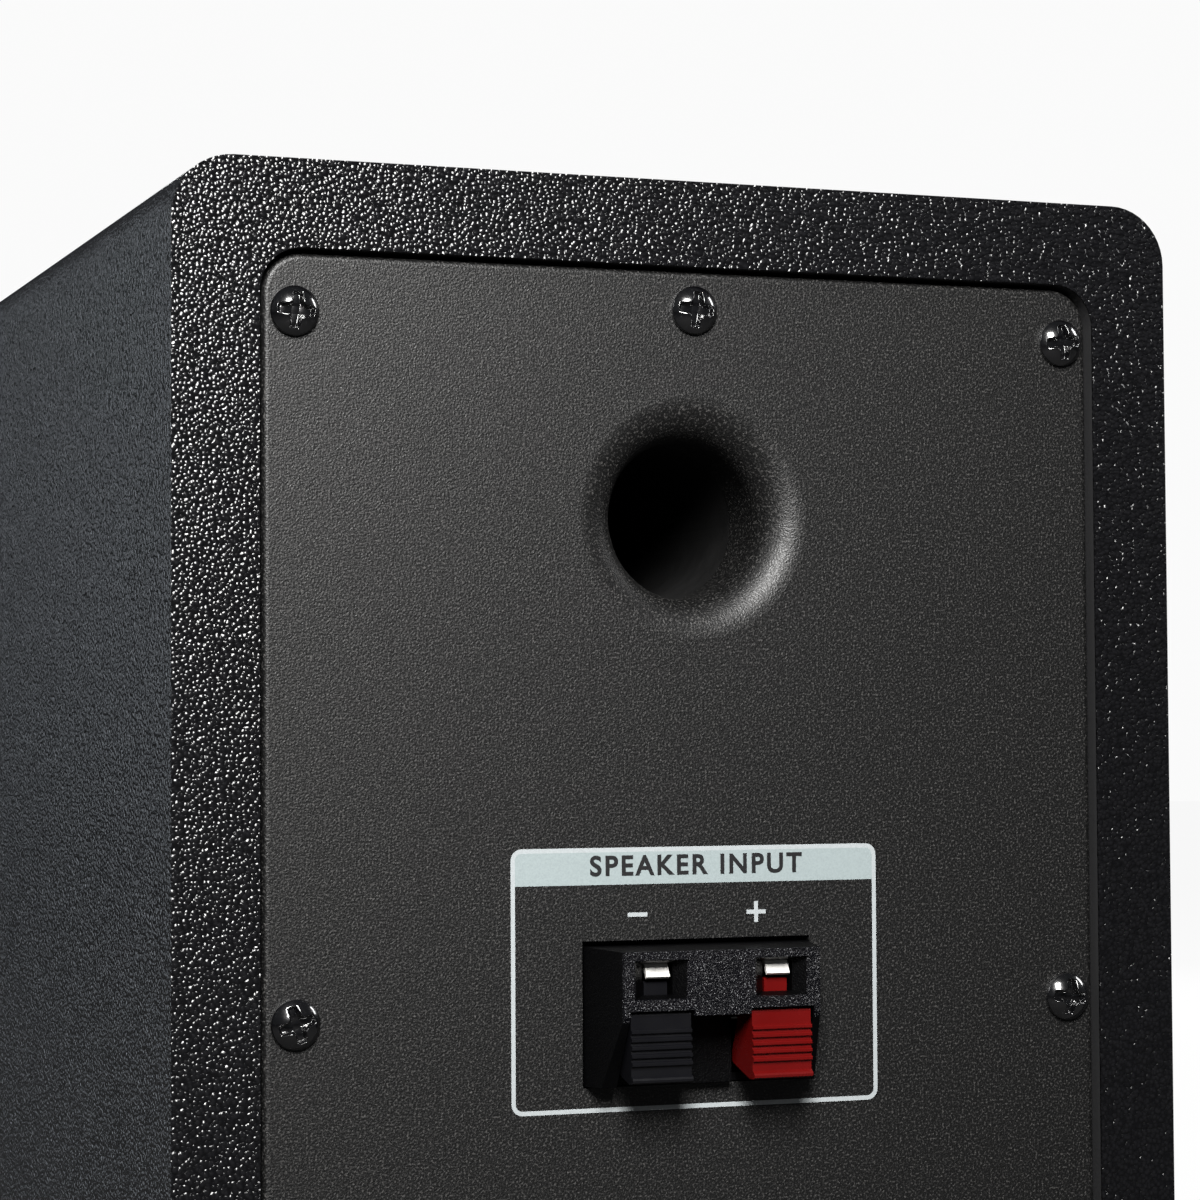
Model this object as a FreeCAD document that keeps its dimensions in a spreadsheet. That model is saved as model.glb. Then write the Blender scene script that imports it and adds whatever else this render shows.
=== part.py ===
"""Two-way bass-reflex bookshelf speaker with a push terminal, in millimetres.

+Z is up, the front faces -Y and the connections are on the +Y side. The origin is on the ground,
under the middle of the whole speaker.
"""
import FreeCAD, Part
import math
import os
import re

import Sketcher

V = FreeCAD.Vector
doc = FreeCAD.newDocument("BookshelfSpeaker")

# ---------------------------------------------------------------- driving dimensions
SIZES = {
    # cabinet
    "cabinet_width": 141.0,
    "cabinet_height": 218.0,
    "cabinet_depth": 165.0,
    "corner_radius": 8.0,
    "vinyl_thick": 0.3,
    "board_thick": 9.0,
    "baffle_thick": 12.0,
    "baffle_rounding": 2.0,
    "frame_thick": 15.0,
    "glue_leg": 12.0,
    "foot_height": 2.0,
    "foot_radius": 6.0,
    "foot_inset": 15.0,
    # recess for the rear plate
    "recess_width": 118.4,
    "recess_height": 195.4,
    "recess_corner": 5.75,
    "window_width": 100.4,
    "window_height": 177.4,
    "window_corner": 5.0,
    # rear plate
    "plate_gap": 0.6,
    "plate_sink": 1.0,
    "plate_thick": 2.5,
    "plate_rounding": 0.8,
    "lip_gap": 0.5,
    "lip_wall": 1.8,
    "lip_reach": 5.0,
    "gasket_thick": 1.0,
    # rear plate screws
    "screw_across": 54.5,
    "screw_rise": 89.7,
    "screw_middle_rise": 92.0,
    "screw_hole": 2.0,
    "screw_shank": 1.7,
    "screw_pilot": 1.75,
    "screw_reach": 13.0,
    "screw_head": 3.2,
    "screw_rim": 0.7,
    "screw_dome": 2.1,
    "cross_span": 2.3,
    "cross_arm": 0.6,
    "cross_depth": 1.6,
    # bass port
    "port_drop": 44.5,
    "port_throat": 10.5,
    "port_flare": 5.5,
    "port_wall": 1.5,
    "socket_wall": 1.7,
    "socket_start": 14.0,
    "socket_end": 23.5,
    "socket_fit": 0.05,
    "tube_length": 85.0,
    # push terminal
    "terminal_drop": 109.15,
    "mouth_width": 32.2,
    "mouth_height": 18.9,
    "base_width": 31.8,
    "base_top": 8.75,
    "base_bottom": 9.25,
    "face_width": 27.3,
    "face_top": 8.45,
    "face_bottom": 0.15,
    "face_reach": 7.7,
    "gusset_reach": 2.6,
    "bay_floor": 0.8,
    "bay_width": 8.9,
    "lever_pitch": 16.8,
    "lever_width": 8.3,
    "lever_reach": 7.8,
    "lever_top": 0.65,
    "lever_face": 7.05,
    "lip_drop": 7.85,
    "arm_width": 3.2,
    "arm_room": 4.2,
    "arm_front": 5.2,
    "arm_top": 4.5,
    "notch_top": 0.9,
    "slot_front": 6.5,
    "pivot_drop": 0.5,
    "pivot_depth": 1.0,
    "pin_radius": 0.8,
    "pin_fit": 0.05,
    "pin_length": 29.0,
    "hub_radius": 2.1,
    "well_width": 7.8,
    "well_height": 5.1,
    "well_rise": 4.8,
    "throat_width": 4.2,
    "throat_height": 4.0,
    "throat_reach": 5.8,
    "flange_width": 50.0,
    "flange_height": 25.0,
    "flange_thick": 2.0,
    "post_across": 21.0,
    "post_radius": 1.5,
    "post_reach": 5.0,
    "nut_radius": 4.0,
    "nut_thick": 0.6,
    "contact_width": 3.2,
    "contact_thick": 0.5,
    "contact_rise": 6.3,
    "contact_lip": 5.15,
    "contact_bend": 5.3,
    "contact_tip": 6.25,
    "contact_back": 14.0,
    "ridge_start": 1.75,
    "ridge_pitch": 1.03,
    "ridge_rise": 0.4,
    "ridge_half": 0.24,
    "spring_radius": 1.6,
    "spring_wire": 0.22,
    "spring_pitch": 0.5,
    # woofer, measured from the front face of the baffle
    "woofer_rise": 66.0,
    "trim_proud": 2.0,
    "trim_radius": 47.3,
    "trim_inner": 39.0,
    "woofer_recess": 47.5,
    "woofer_recess_depth": 2.0,
    "woofer_hole": 40.0,
    "flange_radius": 47.0,
    "basket_wall": 1.0,
    "foam_thick": 0.8,
    "coil_inner": 12.25,
    "former_wall": 0.15,
    "winding_wall": 0.35,
    "air_gap": 0.3,
    "woofer_pcd_radius": 43.6,
    "driver_screw_hole": 1.7,
    "driver_screw_shank": 1.45,
    "driver_screw_pilot": 1.5,
    "driver_screw_head": 2.9,
    "driver_screw_seat": 3.3,
    "driver_screw_reach": 10.5,
    # tweeter, measured from the front face of the baffle
    "tweeter_rise": 166.0,
    "tweeter_radius": 39.0,
    "tweeter_recess": 39.2,
    "tweeter_recess_depth": 3.0,
    "tweeter_hole": 27.0,
    "tweeter_neck": 26.5,
    "tweeter_throat": 14.2,
    "tweeter_pcd_radius": 35.5,
    "tweeter_proud": 1.0,
    # crossover
    "crossover_width": 70.0,
    "crossover_length": 50.0,
    "crossover_thick": 1.6,
    "crossover_middle": 28.0,
    "standoff_height": 6.0,
    "wire_radius": 0.9,
    "pad_thick": 9.0,
}

sheet = doc.addObject("Spreadsheet::Sheet", "Sizes")
for row, (name, number) in enumerate(SIZES.items(), start=1):
    sheet.set(f"A{row}", name)
    sheet.set(f"B{row}", str(number))
    sheet.setAlias(f"B{row}", name)
doc.recompute()

# Places that follow from the driving dimensions, as formulas on the sheet.
REAR_Y = "(cabinet_depth / 2 - (lever_reach - trim_proud) / 2)"
FRONT_Y = f"({REAR_Y} - cabinet_depth)"
TOP_Z = "(foot_height + cabinet_height)"
MIDDLE_Z = "(foot_height + cabinet_height / 2)"
TERMINAL_Z = f"({TOP_Z} - terminal_drop)"
BOARDS_Y = f"({REAR_Y} - vinyl_thick - frame_thick)"
BOARDS_DEPTH = "(cabinet_depth - vinyl_thick - frame_thick - baffle_thick)"
INNER_WIDTH = "(cabinet_width - 2 * vinyl_thick - 2 * board_thick)"
INNER_HEIGHT = "(cabinet_height - 2 * vinyl_thick - 2 * board_thick)"
FLOOR_Z = "(foot_height + vinyl_thick + board_thick)"
PLATE_BACK = "(-plate_sink - plate_thick)"
PLATE_WIDTH = "(recess_width - 2 * plate_gap)"
PLATE_HEIGHT = "(recess_height - 2 * plate_gap)"
PLATE_CORNER = "(recess_corner - plate_gap)"

# Local frames: z points out of the speaker and y up, at the front or at the rear.
LEVEL = FreeCAD.Rotation()
FRONT = FreeCAD.Rotation(V(1, 0, 0), V(0, 0, 1), V(0, -1, 0), "ZXY")
REAR = FreeCAD.Rotation(V(-1, 0, 0), V(0, 0, 1), V(0, 1, 0), "ZXY")
AT_REAR = ("0", REAR_Y, MIDDLE_Z)
AT_TERMINAL = ("0", REAR_Y, TERMINAL_Z)
AT_PORT = ("0", REAR_Y, f"{TOP_Z} - port_drop")
AT_FRONT = ("0", FRONT_Y, MIDDLE_Z)
AT_WOOFER = ("0", FRONT_Y, "foot_height + woofer_rise")
AT_TWEETER = ("0", FRONT_Y, "foot_height + tweeter_rise")

pieces = []


# ---------------------------------------------------------------- helpers
def formula(text):
    """The text with every driving dimension written as a cell of the sheet."""
    return re.sub(r"[a-z][a-z_]+", lambda m: f"Sizes.{m[0]}" if m[0] in SIZES else m[0], str(text))


def value(text):
    """The number that a formula gives now."""
    return float(sheet.evalExpression(formula(text)))


def bind(thing, property_name, text):
    thing.setExpression(property_name, formula(text))


def place(thing, turn, at):
    """Gives a piece its Placement, with the position bound to the sheet."""
    thing.Placement = FreeCAD.Placement(V(*[value(part) for part in at]), turn)
    for axis, part in zip("xyz", at):
        bind(thing, f"Placement.Base.{axis}", part)


def new_body(label, turn=LEVEL, at=("0", "0", "0"), keep=True):
    """An empty body in one of the local frames. A body that isn't kept is only a pattern."""
    body = doc.addObject("PartDesign::Body", label)
    body.Label = label
    place(body, turn, at)
    if keep:
        pieces.append(body)
    return body


def datum(body, role):
    return next(item for item in body.Origin.OriginFeatures if item.Role == role)


def new_sketch(body, plane="XY", offset="0"):
    """A sketch on one of the body's own planes, moved along that plane's normal."""
    sketch = body.newObject("Sketcher::SketchObject", f"{body.Label}_sketch")
    sketch.AttachmentSupport = [(datum(body, f"{plane}_Plane"), "")]
    sketch.MapMode = "FlatFace"
    bind(sketch, "AttachmentOffset.Base.z", offset)
    return sketch


def fix_point(sketch, geometry, point, across, up):
    """Ties one point of a sketch to its place, given as two formulas."""
    for kind, letter, text in (("DistanceX", "x", across), ("DistanceY", "y", up)):
        index = sketch.addConstraint(
            Sketcher.Constraint(kind, -1, 1, geometry, point, value(text))
        )
        if "_" in text:
            sketch.renameConstraint(index, f"{letter}{geometry}_{point}")
            bind(sketch, f"Constraints.{letter}{geometry}_{point}", text)


def fix_radius(sketch, geometry, text):
    index = sketch.addConstraint(Sketcher.Constraint("Radius", geometry, abs(value(text))))
    if "_" in text:
        sketch.renameConstraint(index, f"radius{geometry}")
        bind(sketch, f"Constraints.radius{geometry}", f"abs({text})")


def arc_between(start, end, radius):
    """The short arc from start to end, anticlockwise for a positive radius."""
    chord = end - start
    sideways = V(-chord.y, chord.x, 0).normalize()
    reach = math.sqrt(max(radius ** 2 - (chord.Length / 2) ** 2, 0))
    centre = (start + end) / 2 + sideways * math.copysign(reach, radius)
    first, last = (start, end) if radius > 0 else (end, start)
    circle = Part.Circle(centre, V(0, 0, 1), abs(radius))
    return Part.ArcOfCircle(circle, circle.parameter(first), circle.parameter(last))


def outline(sketch, points):
    """A closed outline. A point (x, y) ends a line and a point (x, y, radius) ends an arc."""
    ends = [V(value(point[0]), value(point[1]), 0) for point in points]
    begins = []
    closes = []
    for number, point in enumerate(points):
        start, end = ends[number - 1], ends[number]
        if len(point) == 2:
            geometry = sketch.addGeometry(Part.LineSegment(start, end), False)
            backwards = False
        else:
            radius = value(point[2])
            geometry = sketch.addGeometry(arc_between(start, end, radius), False)
            backwards = radius < 0
        begins.append((geometry, 2 if backwards else 1))
        closes.append((geometry, 1 if backwards else 2))
    for number, point in enumerate(points):
        following = begins[(number + 1) % len(points)]
        sketch.addConstraint(Sketcher.Constraint("Coincident", *closes[number], *following))
        fix_point(sketch, *closes[number], point[0], point[1])
        if len(point) == 3:
            fix_radius(sketch, closes[number][0], point[2])
    return sketch


def rectangle(sketch, width, height, across="0", up="0"):
    left, right = f"{across} - ({width}) / 2", f"{across} + ({width}) / 2"
    bottom, top = f"{up} - ({height}) / 2", f"{up} + ({height}) / 2"
    return outline(sketch, [(left, bottom), (right, bottom), (right, top), (left, top)])


def rounded_rectangle(sketch, width, height, radius):
    """A rectangle about the sketch's origin with round corners."""
    far_x, far_y = f"({width}) / 2", f"({height}) / 2"
    near_x, near_y = f"({far_x} - {radius})", f"({far_y} - {radius})"
    return outline(sketch, [
        (f"{near_x}", f"-{far_y}"),
        (f"{far_x}", f"-{near_y}", radius),
        (f"{far_x}", f"{near_y}"),
        (f"{near_x}", f"{far_y}", radius),
        (f"-{near_x}", f"{far_y}"),
        (f"-{far_x}", f"{near_y}", radius),
        (f"-{far_x}", f"-{near_y}"),
        (f"-{near_x}", f"-{far_y}", radius),
    ])


def circle(sketch, radius, across="0", up="0"):
    centre = V(value(across), value(up), 0)
    geometry = sketch.addGeometry(Part.Circle(centre, V(0, 0, 1), value(radius)), False)
    fix_point(sketch, geometry, 3, across, up)
    fix_radius(sketch, geometry, radius)
    return sketch


def add_feature(body, kind, sketch):
    """A feature made from a sketch. A feature that takes material away must really do so."""
    feature = body.newObject(f"PartDesign::{kind}", f"{body.Label}_{kind}")
    feature.Profile = sketch
    return feature


def check_volume(body, before, grows):
    doc.recompute()
    change = body.Shape.Volume - before
    if (change > 0.001) != grows:
        raise RuntimeError(f"{body.Label}: a feature changed the volume by {change:.3f}")


def volume(body):
    doc.recompute()
    return 0.0 if body.Shape.isNull() else body.Shape.Volume


def pad(body, sketch, length, reverse=False, centred=False):
    before = volume(body)
    feature = add_feature(body, "Pad", sketch)
    bind(feature, "Length", length)
    feature.Reversed = reverse
    feature.Midplane = centred
    check_volume(body, before, True)
    return feature


def pocket(body, sketch, length, reverse=False, centred=False):
    before = volume(body)
    feature = add_feature(body, "Pocket", sketch)
    bind(feature, "Length", length)
    feature.Reversed = reverse
    feature.Midplane = centred
    check_volume(body, before, False)
    return feature


def revolve(body, points, cut=False, rise="0"):
    """Turns an outline of (radius, z) points about the upright through (0, rise) of the frame."""
    before = volume(body)
    sketch = outline(new_sketch(body, "XZ", f"-({rise})"), points)
    feature = add_feature(body, "Groove" if cut else "Revolution", sketch)
    feature.ReferenceAxis = (sketch, ["V_Axis"])
    check_volume(body, before, not cut)
    return feature


def loft(body, first, second, cut=False):
    before = volume(body)
    feature = add_feature(body, "SubtractiveLoft" if cut else "AdditiveLoft", first)
    feature.Sections = [(second, [""])]
    feature.Ruled = True
    check_volume(body, before, not cut)
    return feature


def polar(body, original, count):
    """Repeats a feature round the frame's z axis."""
    before = volume(body)
    pattern = body.newObject("PartDesign::PolarPattern", f"{body.Label}_pattern")
    pattern.Originals = [original]
    pattern.Axis = (datum(body, "Z_Axis"), [""])
    pattern.Angle = 360
    pattern.Occurrences = count
    body.Tip = pattern
    check_volume(body, before, "Pocket" not in original.TypeId)
    return pattern


def round_edges(body, radius, chosen):
    """Rounds the edges of the body so far that the test picks."""
    doc.recompute()
    base = body.Tip
    names = [f"Edge{n}" for n, edge in enumerate(base.Shape.Edges, start=1) if chosen(edge)]
    feature = body.newObject("PartDesign::Fillet", f"{body.Label}_fillet")
    feature.Base = (base, names)
    bind(feature, "Radius", radius)
    doc.recompute()
    return feature


def lies_at(edge, height):
    """Whether the whole edge lies at this z of the body's frame."""
    box = edge.BoundBox
    return abs(box.ZMin - height) < 1e-4 and abs(box.ZMax - height) < 1e-4


def group(label, master, places, turn):
    """One node of identical solids: links to a master body at each (x, y, z)."""
    links = []
    for at in places:
        link = doc.addObject("App::Link", f"{label}_link")
        link.LinkedObject = master
        place(link, turn, at)
        links.append(link)
    compound = doc.addObject("Part::Compound", label)
    compound.Label = label
    compound.Links = links
    pieces.append(compound)
    return compound


def block(label, width, depth, height, at):
    """A plain box standing on its middle point."""
    box = doc.addObject("Part::Box", label)
    box.Label = label
    for side, text in (("Length", width), ("Width", depth), ("Height", height)):
        bind(box, side, text)
    place(box, LEVEL, (f"{at[0]} - ({width}) / 2", f"{at[1]} - ({depth}) / 2", at[2]))
    pieces.append(box)
    return box


def wire_path(points):
    """Straight runs joined by tangent arcs, through (y, z) corners in one upright plane."""
    corners = [V(0, *point) for point in points]
    edges = []
    start = corners[0]
    for before, corner, after in zip(corners, corners[1:], corners[2:]):
        incoming, outgoing = (corner - before).normalize(), (after - corner).normalize()
        turn = incoming.getAngle(outgoing)
        setback = 0.45 * min((corner - before).Length, (after - corner).Length)
        arc_start, arc_end = corner - incoming * setback, corner + outgoing * setback
        radius = setback / math.tan(turn / 2)
        middle = (outgoing - incoming).normalize()
        centre = corner + middle * (radius / math.cos(turn / 2))
        edges.append(Part.LineSegment(start, arc_start).toShape())
        edges.append(Part.Arc(arc_start, centre - middle * radius, arc_end).toShape())
        start = arc_end
    edges.append(Part.LineSegment(start, corners[-1]).toShape())
    return Part.Wire(edges)


def wires(label, sides, points):
    """One node of round wires that all follow the same route, at different x."""
    path = wire_path([[value(part) for part in point] for point in points])
    first = path.Edges[0]
    section = Part.Wire(Part.makeCircle(value("wire_radius"), first.valueAt(0), first.tangentAt(0)))
    solid = path.makePipeShell([section], True, False)
    copies = []
    for side in sides:
        copy = solid.copy()
        copy.translate(V(value(side), 0, 0))
        copies.append(copy)
    node = doc.addObject("Part::Feature", label)
    node.Label = label
    node.Shape = Part.makeCompound(copies)
    node.Placement = FreeCAD.Placement()
    pieces.append(node)
    return node


# ---------------------------------------------------------------- cabinet
def cabinet_board(label, degrees, across, along):
    """A mitred board with half of each round corner, turned about Y to its side of the box."""
    skin_radius = "(corner_radius - vinyl_thick)"
    cut = f"({skin_radius} * (1 - sqrt(2) / 2))"
    half = f"({across} / 2 - vinyl_thick)"
    rise = f"({along} / 2 - vinyl_thick)"
    turn = FreeCAD.Rotation(V(0, 1, 0), degrees)
    board = new_body(label, turn, ("0", BOARDS_Y, MIDDLE_Z))
    profile = outline(new_sketch(board, "XZ"), [
        (f"{half} - board_thick", f"-({rise} - board_thick)"),
        (f"{half} - {cut}", f"-({rise} - {cut})"),
        (half, f"-({rise} - {skin_radius})", skin_radius),
        (half, f"{rise} - {skin_radius}"),
        (f"{half} - {cut}", f"{rise} - {cut}", skin_radius),
        (f"{half} - board_thick", f"{rise} - board_thick"),
    ])
    pad(board, profile, BOARDS_DEPTH)


def make_boards():
    cabinet_board("right_side_panel", 0, "cabinet_width", "cabinet_height")
    cabinet_board("left_side_panel", 180, "cabinet_width", "cabinet_height")
    cabinet_board("top_panel", -90, "cabinet_height", "cabinet_width")
    cabinet_board("bottom_panel", 90, "cabinet_height", "cabinet_width")


def make_glue_blocks():
    """Four three-cornered battens along the long inner corners."""
    blocks = new_body("corner_glue_blocks", LEVEL, ("0", BOARDS_Y, MIDDLE_Z))
    sketch = new_sketch(blocks, "XZ")
    for side in ("", "-"):
        for level in ("", "-"):
            corner = (f"{side}{INNER_WIDTH} / 2", f"{level}{INNER_HEIGHT} / 2")
            along_x = (f"{side}({INNER_WIDTH} / 2 - glue_leg)", corner[1])
            along_z = (corner[0], f"{level}({INNER_HEIGHT} / 2 - glue_leg)")
            outline(sketch, [corner, along_x, along_z])
    pad(blocks, sketch, BOARDS_DEPTH)


def make_vinyl():
    """The laminate: a sleeve round the box and a sheet on the rear frame."""
    sleeve = new_body("vinyl_wrap", REAR, AT_REAR)
    sketch = rounded_rectangle(new_sketch(sleeve), "cabinet_width", "cabinet_height", "corner_radius")
    rounded_rectangle(sketch, "cabinet_width - 2 * vinyl_thick",
                      "cabinet_height - 2 * vinyl_thick", "(corner_radius - vinyl_thick)")
    pad(sleeve, sketch, "cabinet_depth - baffle_thick", reverse=True)

    sheet_body = new_body("rear_frame_vinyl", REAR, AT_REAR)
    sketch = new_sketch(sheet_body)
    rounded_rectangle(sketch, "cabinet_width - 2 * vinyl_thick",
                      "cabinet_height - 2 * vinyl_thick", "(corner_radius - vinyl_thick)")
    rounded_rectangle(sketch, "recess_width", "recess_height", "recess_corner")
    pad(sheet_body, sketch, "vinyl_thick", reverse=True)


def make_rear_frame():
    """The rear board: a shallow recess for the plate round a large window."""
    frame = new_body("rear_frame", REAR, ("0", f"{REAR_Y} - vinyl_thick", MIDDLE_Z))
    sketch = rounded_rectangle(new_sketch(frame), "cabinet_width - 2 * vinyl_thick",
                               "cabinet_height - 2 * vinyl_thick", "(corner_radius - vinyl_thick)")
    pad(frame, sketch, "frame_thick", reverse=True)
    recess = rounded_rectangle(new_sketch(frame), "recess_width", "recess_height", "recess_corner")
    pocket(frame, recess, "plate_sink + plate_thick + gasket_thick - vinyl_thick")
    window = rounded_rectangle(new_sketch(frame), "window_width", "window_height", "window_corner")
    pocket(frame, window, "frame_thick + 1")
    pilots = new_sketch(frame)
    for across, up in screw_places():
        circle(pilots, "screw_pilot", across, up)
    pocket(frame, pilots, "screw_reach + plate_sink - vinyl_thick + 0.5")


def screw_places():
    """The eight screws of the rear plate, in the plate's frame."""
    corners = [(f"{side}screw_across", up) for side in ("", "-")
               for up in ("screw_rise", "0", "-screw_rise")]
    return corners + [("0", "screw_middle_rise"), ("0", "-screw_middle_rise")]


def make_feet():
    foot = new_body("foot_pattern", keep=False)
    revolve(foot, [
        ("0", "0"),
        ("foot_radius - 0.6", "0"),
        ("foot_radius", "0.6", "0.6"),
        ("foot_radius", "foot_height"),
        ("0", "foot_height"),
    ])
    places = [(f"{side}(cabinet_width / 2 - foot_inset)", y, "0")
              for side in ("", "-") for y in (f"{REAR_Y} - foot_inset", f"{FRONT_Y} + foot_inset")]
    group("rubber_feet", foot, places, LEVEL)


def make_baffle():
    """The front board, rounded at its front edge, with stepped openings for both drivers."""
    baffle = new_body("front_baffle", FRONT, AT_FRONT)
    sketch = rounded_rectangle(new_sketch(baffle), "cabinet_width", "cabinet_height", "corner_radius")
    pad(baffle, sketch, "baffle_thick", reverse=True)
    round_edges(baffle, "baffle_rounding", lambda edge: lies_at(edge, 0))
    for rise, step, depth, hole in (
        ("(woofer_rise - cabinet_height / 2)", "woofer_recess", "woofer_recess_depth", "woofer_hole"),
        ("(tweeter_rise - cabinet_height / 2)", "tweeter_recess", "tweeter_recess_depth",
         "tweeter_hole"),
    ):
        pocket(baffle, circle(new_sketch(baffle), step, "0", rise), depth)
        pocket(baffle, circle(new_sketch(baffle), hole, "0", rise), "baffle_thick + 1")
    pilots = new_sketch(baffle)
    for rise, spread in (("woofer_rise", "woofer_pcd_radius"), ("tweeter_rise", "tweeter_pcd_radius")):
        for across, up in square_places(spread):
            circle(pilots, "driver_screw_pilot", across, f"{rise} - cabinet_height / 2 + {up}")
    pocket(baffle, pilots, "baffle_thick - 0.5")


def square_places(spread):
    """Four screws at 45 degrees on a circle."""
    step = f"{spread} * sqrt(2) / 2"
    return [(f"{side}({step})", f"{level}({step})") for side in ("", "-1 * ") for level in ("", "-1 * ")]


# ---------------------------------------------------------------- rear plate and port
def make_rear_plate():
    """Moulded plate with the flared port mouth, its tube socket, a locating lip and two posts."""
    plate = new_body("rear_plate", REAR, AT_REAR)
    sketch = rounded_rectangle(new_sketch(plate, offset="-plate_sink"),
                               PLATE_WIDTH, PLATE_HEIGHT, PLATE_CORNER)
    pad(plate, sketch, "plate_thick", reverse=True)
    round_edges(plate, "plate_rounding", lambda edge: lies_at(edge, -value("plate_sink")))

    port_rise = "(cabinet_height / 2 - port_drop)"
    tube_outer = "(port_throat + port_wall)"
    socket = circle(new_sketch(plate, offset=PLATE_BACK),
                    f"{tube_outer} + socket_wall", "0", port_rise)
    pad(plate, socket, f"socket_end + {PLATE_BACK}", reverse=True)
    mouth = "(port_throat + port_flare)"
    revolve(plate, [
        ("0", "1"),
        (mouth, "1"),
        (mouth, "-plate_sink"),
        ("port_throat", "-plate_sink - port_flare", "port_flare"),
        ("port_throat", "-socket_start"),
        (f"{tube_outer} + socket_fit", "-socket_start"),
        (f"{tube_outer} + socket_fit", "-socket_end - 1"),
        ("0", "-socket_end - 1"),
    ], cut=True, rise=port_rise)

    lip = new_sketch(plate, offset=PLATE_BACK)
    rounded_rectangle(lip, "window_width - 2 * lip_gap", "window_height - 2 * lip_gap",
                      "(window_corner - lip_gap)")
    rounded_rectangle(lip, "window_width - 2 * lip_gap - 2 * lip_wall",
                      "window_height - 2 * lip_gap - 2 * lip_wall",
                      "(window_corner - lip_gap - lip_wall)")
    pad(plate, lip, "lip_reach", reverse=True)

    terminal_rise = "(cabinet_height / 2 - terminal_drop)"
    posts = new_sketch(plate, offset=PLATE_BACK)
    for side in ("", "-"):
        circle(posts, "post_radius", f"{side}post_across", terminal_rise)
    pad(plate, posts, "post_reach", reverse=True)
    opening = rectangle(new_sketch(plate), "mouth_width", "mouth_height", "0", terminal_rise)
    pocket(plate, opening, "plate_sink + plate_thick + 0.5")
    holes = new_sketch(plate)
    for across, up in screw_places():
        circle(holes, "screw_hole", across, up)
    pocket(plate, holes, "plate_sink + plate_thick + 0.5")


def make_gasket():
    gasket = new_body("rear_plate_gasket", REAR, AT_REAR)
    sketch = new_sketch(gasket, offset=PLATE_BACK)
    rounded_rectangle(sketch, PLATE_WIDTH, PLATE_HEIGHT, PLATE_CORNER)
    rounded_rectangle(sketch, "window_width + 1.2", "window_height + 1.2", "window_corner")
    for across, up in screw_places():
        circle(sketch, "screw_hole", across, up)
    pad(gasket, sketch, "gasket_thick", reverse=True)


def pan_screw(label, head, rim, dome, shank, reach, span, arm, depth):
    """A cross-head pan screw along z, its seat at z = 0."""
    screw = new_body(label, keep=False)
    crown = f"({dome} - {rim})"
    revolve(screw, [
        ("0", f"-{reach}"),
        (shank, f"-{reach} + 2.5"),
        (shank, "0"),
        (head, "0"),
        (head, rim),
        ("0", dome, f"({head} * {head} + {crown} * {crown}) / (2 * {crown})"),
    ])
    cross = outline(new_sketch(screw, offset=dome), [
        (span, f"-{arm}"), (span, arm), (arm, arm), (arm, span),
        (f"-{arm}", span), (f"-{arm}", arm), (f"-{span}", arm), (f"-{span}", f"-{arm}"),
        (f"-{arm}", f"-{arm}"), (f"-{arm}", f"-{span}"), (arm, f"-{span}"), (arm, f"-{arm}"),
    ])
    pocket(screw, cross, depth)
    return screw


def make_plate_screws():
    screw = pan_screw("plate_screw_pattern", "screw_head", "screw_rim", "screw_dome", "screw_shank",
                      "screw_reach", "cross_span", "cross_arm", "cross_depth")
    places = [(f"-1 * ({across})", f"{REAR_Y} - plate_sink", f"{MIDDLE_Z} + ({up})")
              for across, up in screw_places()]
    group("rear_plate_screws", screw, places, REAR)


def make_port_tube():
    tube = new_body("port_tube", REAR, AT_PORT)
    outer = "(port_throat + port_wall)"
    end = "(socket_start + tube_length)"
    revolve(tube, [
        ("port_throat", "-socket_start"),
        ("port_throat", f"-{end} + 0.8"),
        ("port_throat + 0.8", f"-{end}"),
        (outer, f"-{end}"),
        (outer, "-socket_start"),
    ])


# ---------------------------------------------------------------- push terminal
SPRING_TURNS = 3


def lever_sides():
    """The minus lever is towards +X and the plus lever towards -X."""
    return (("negative", "-1 * lever_pitch / 2"), ("positive", "lever_pitch / 2"))


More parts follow.
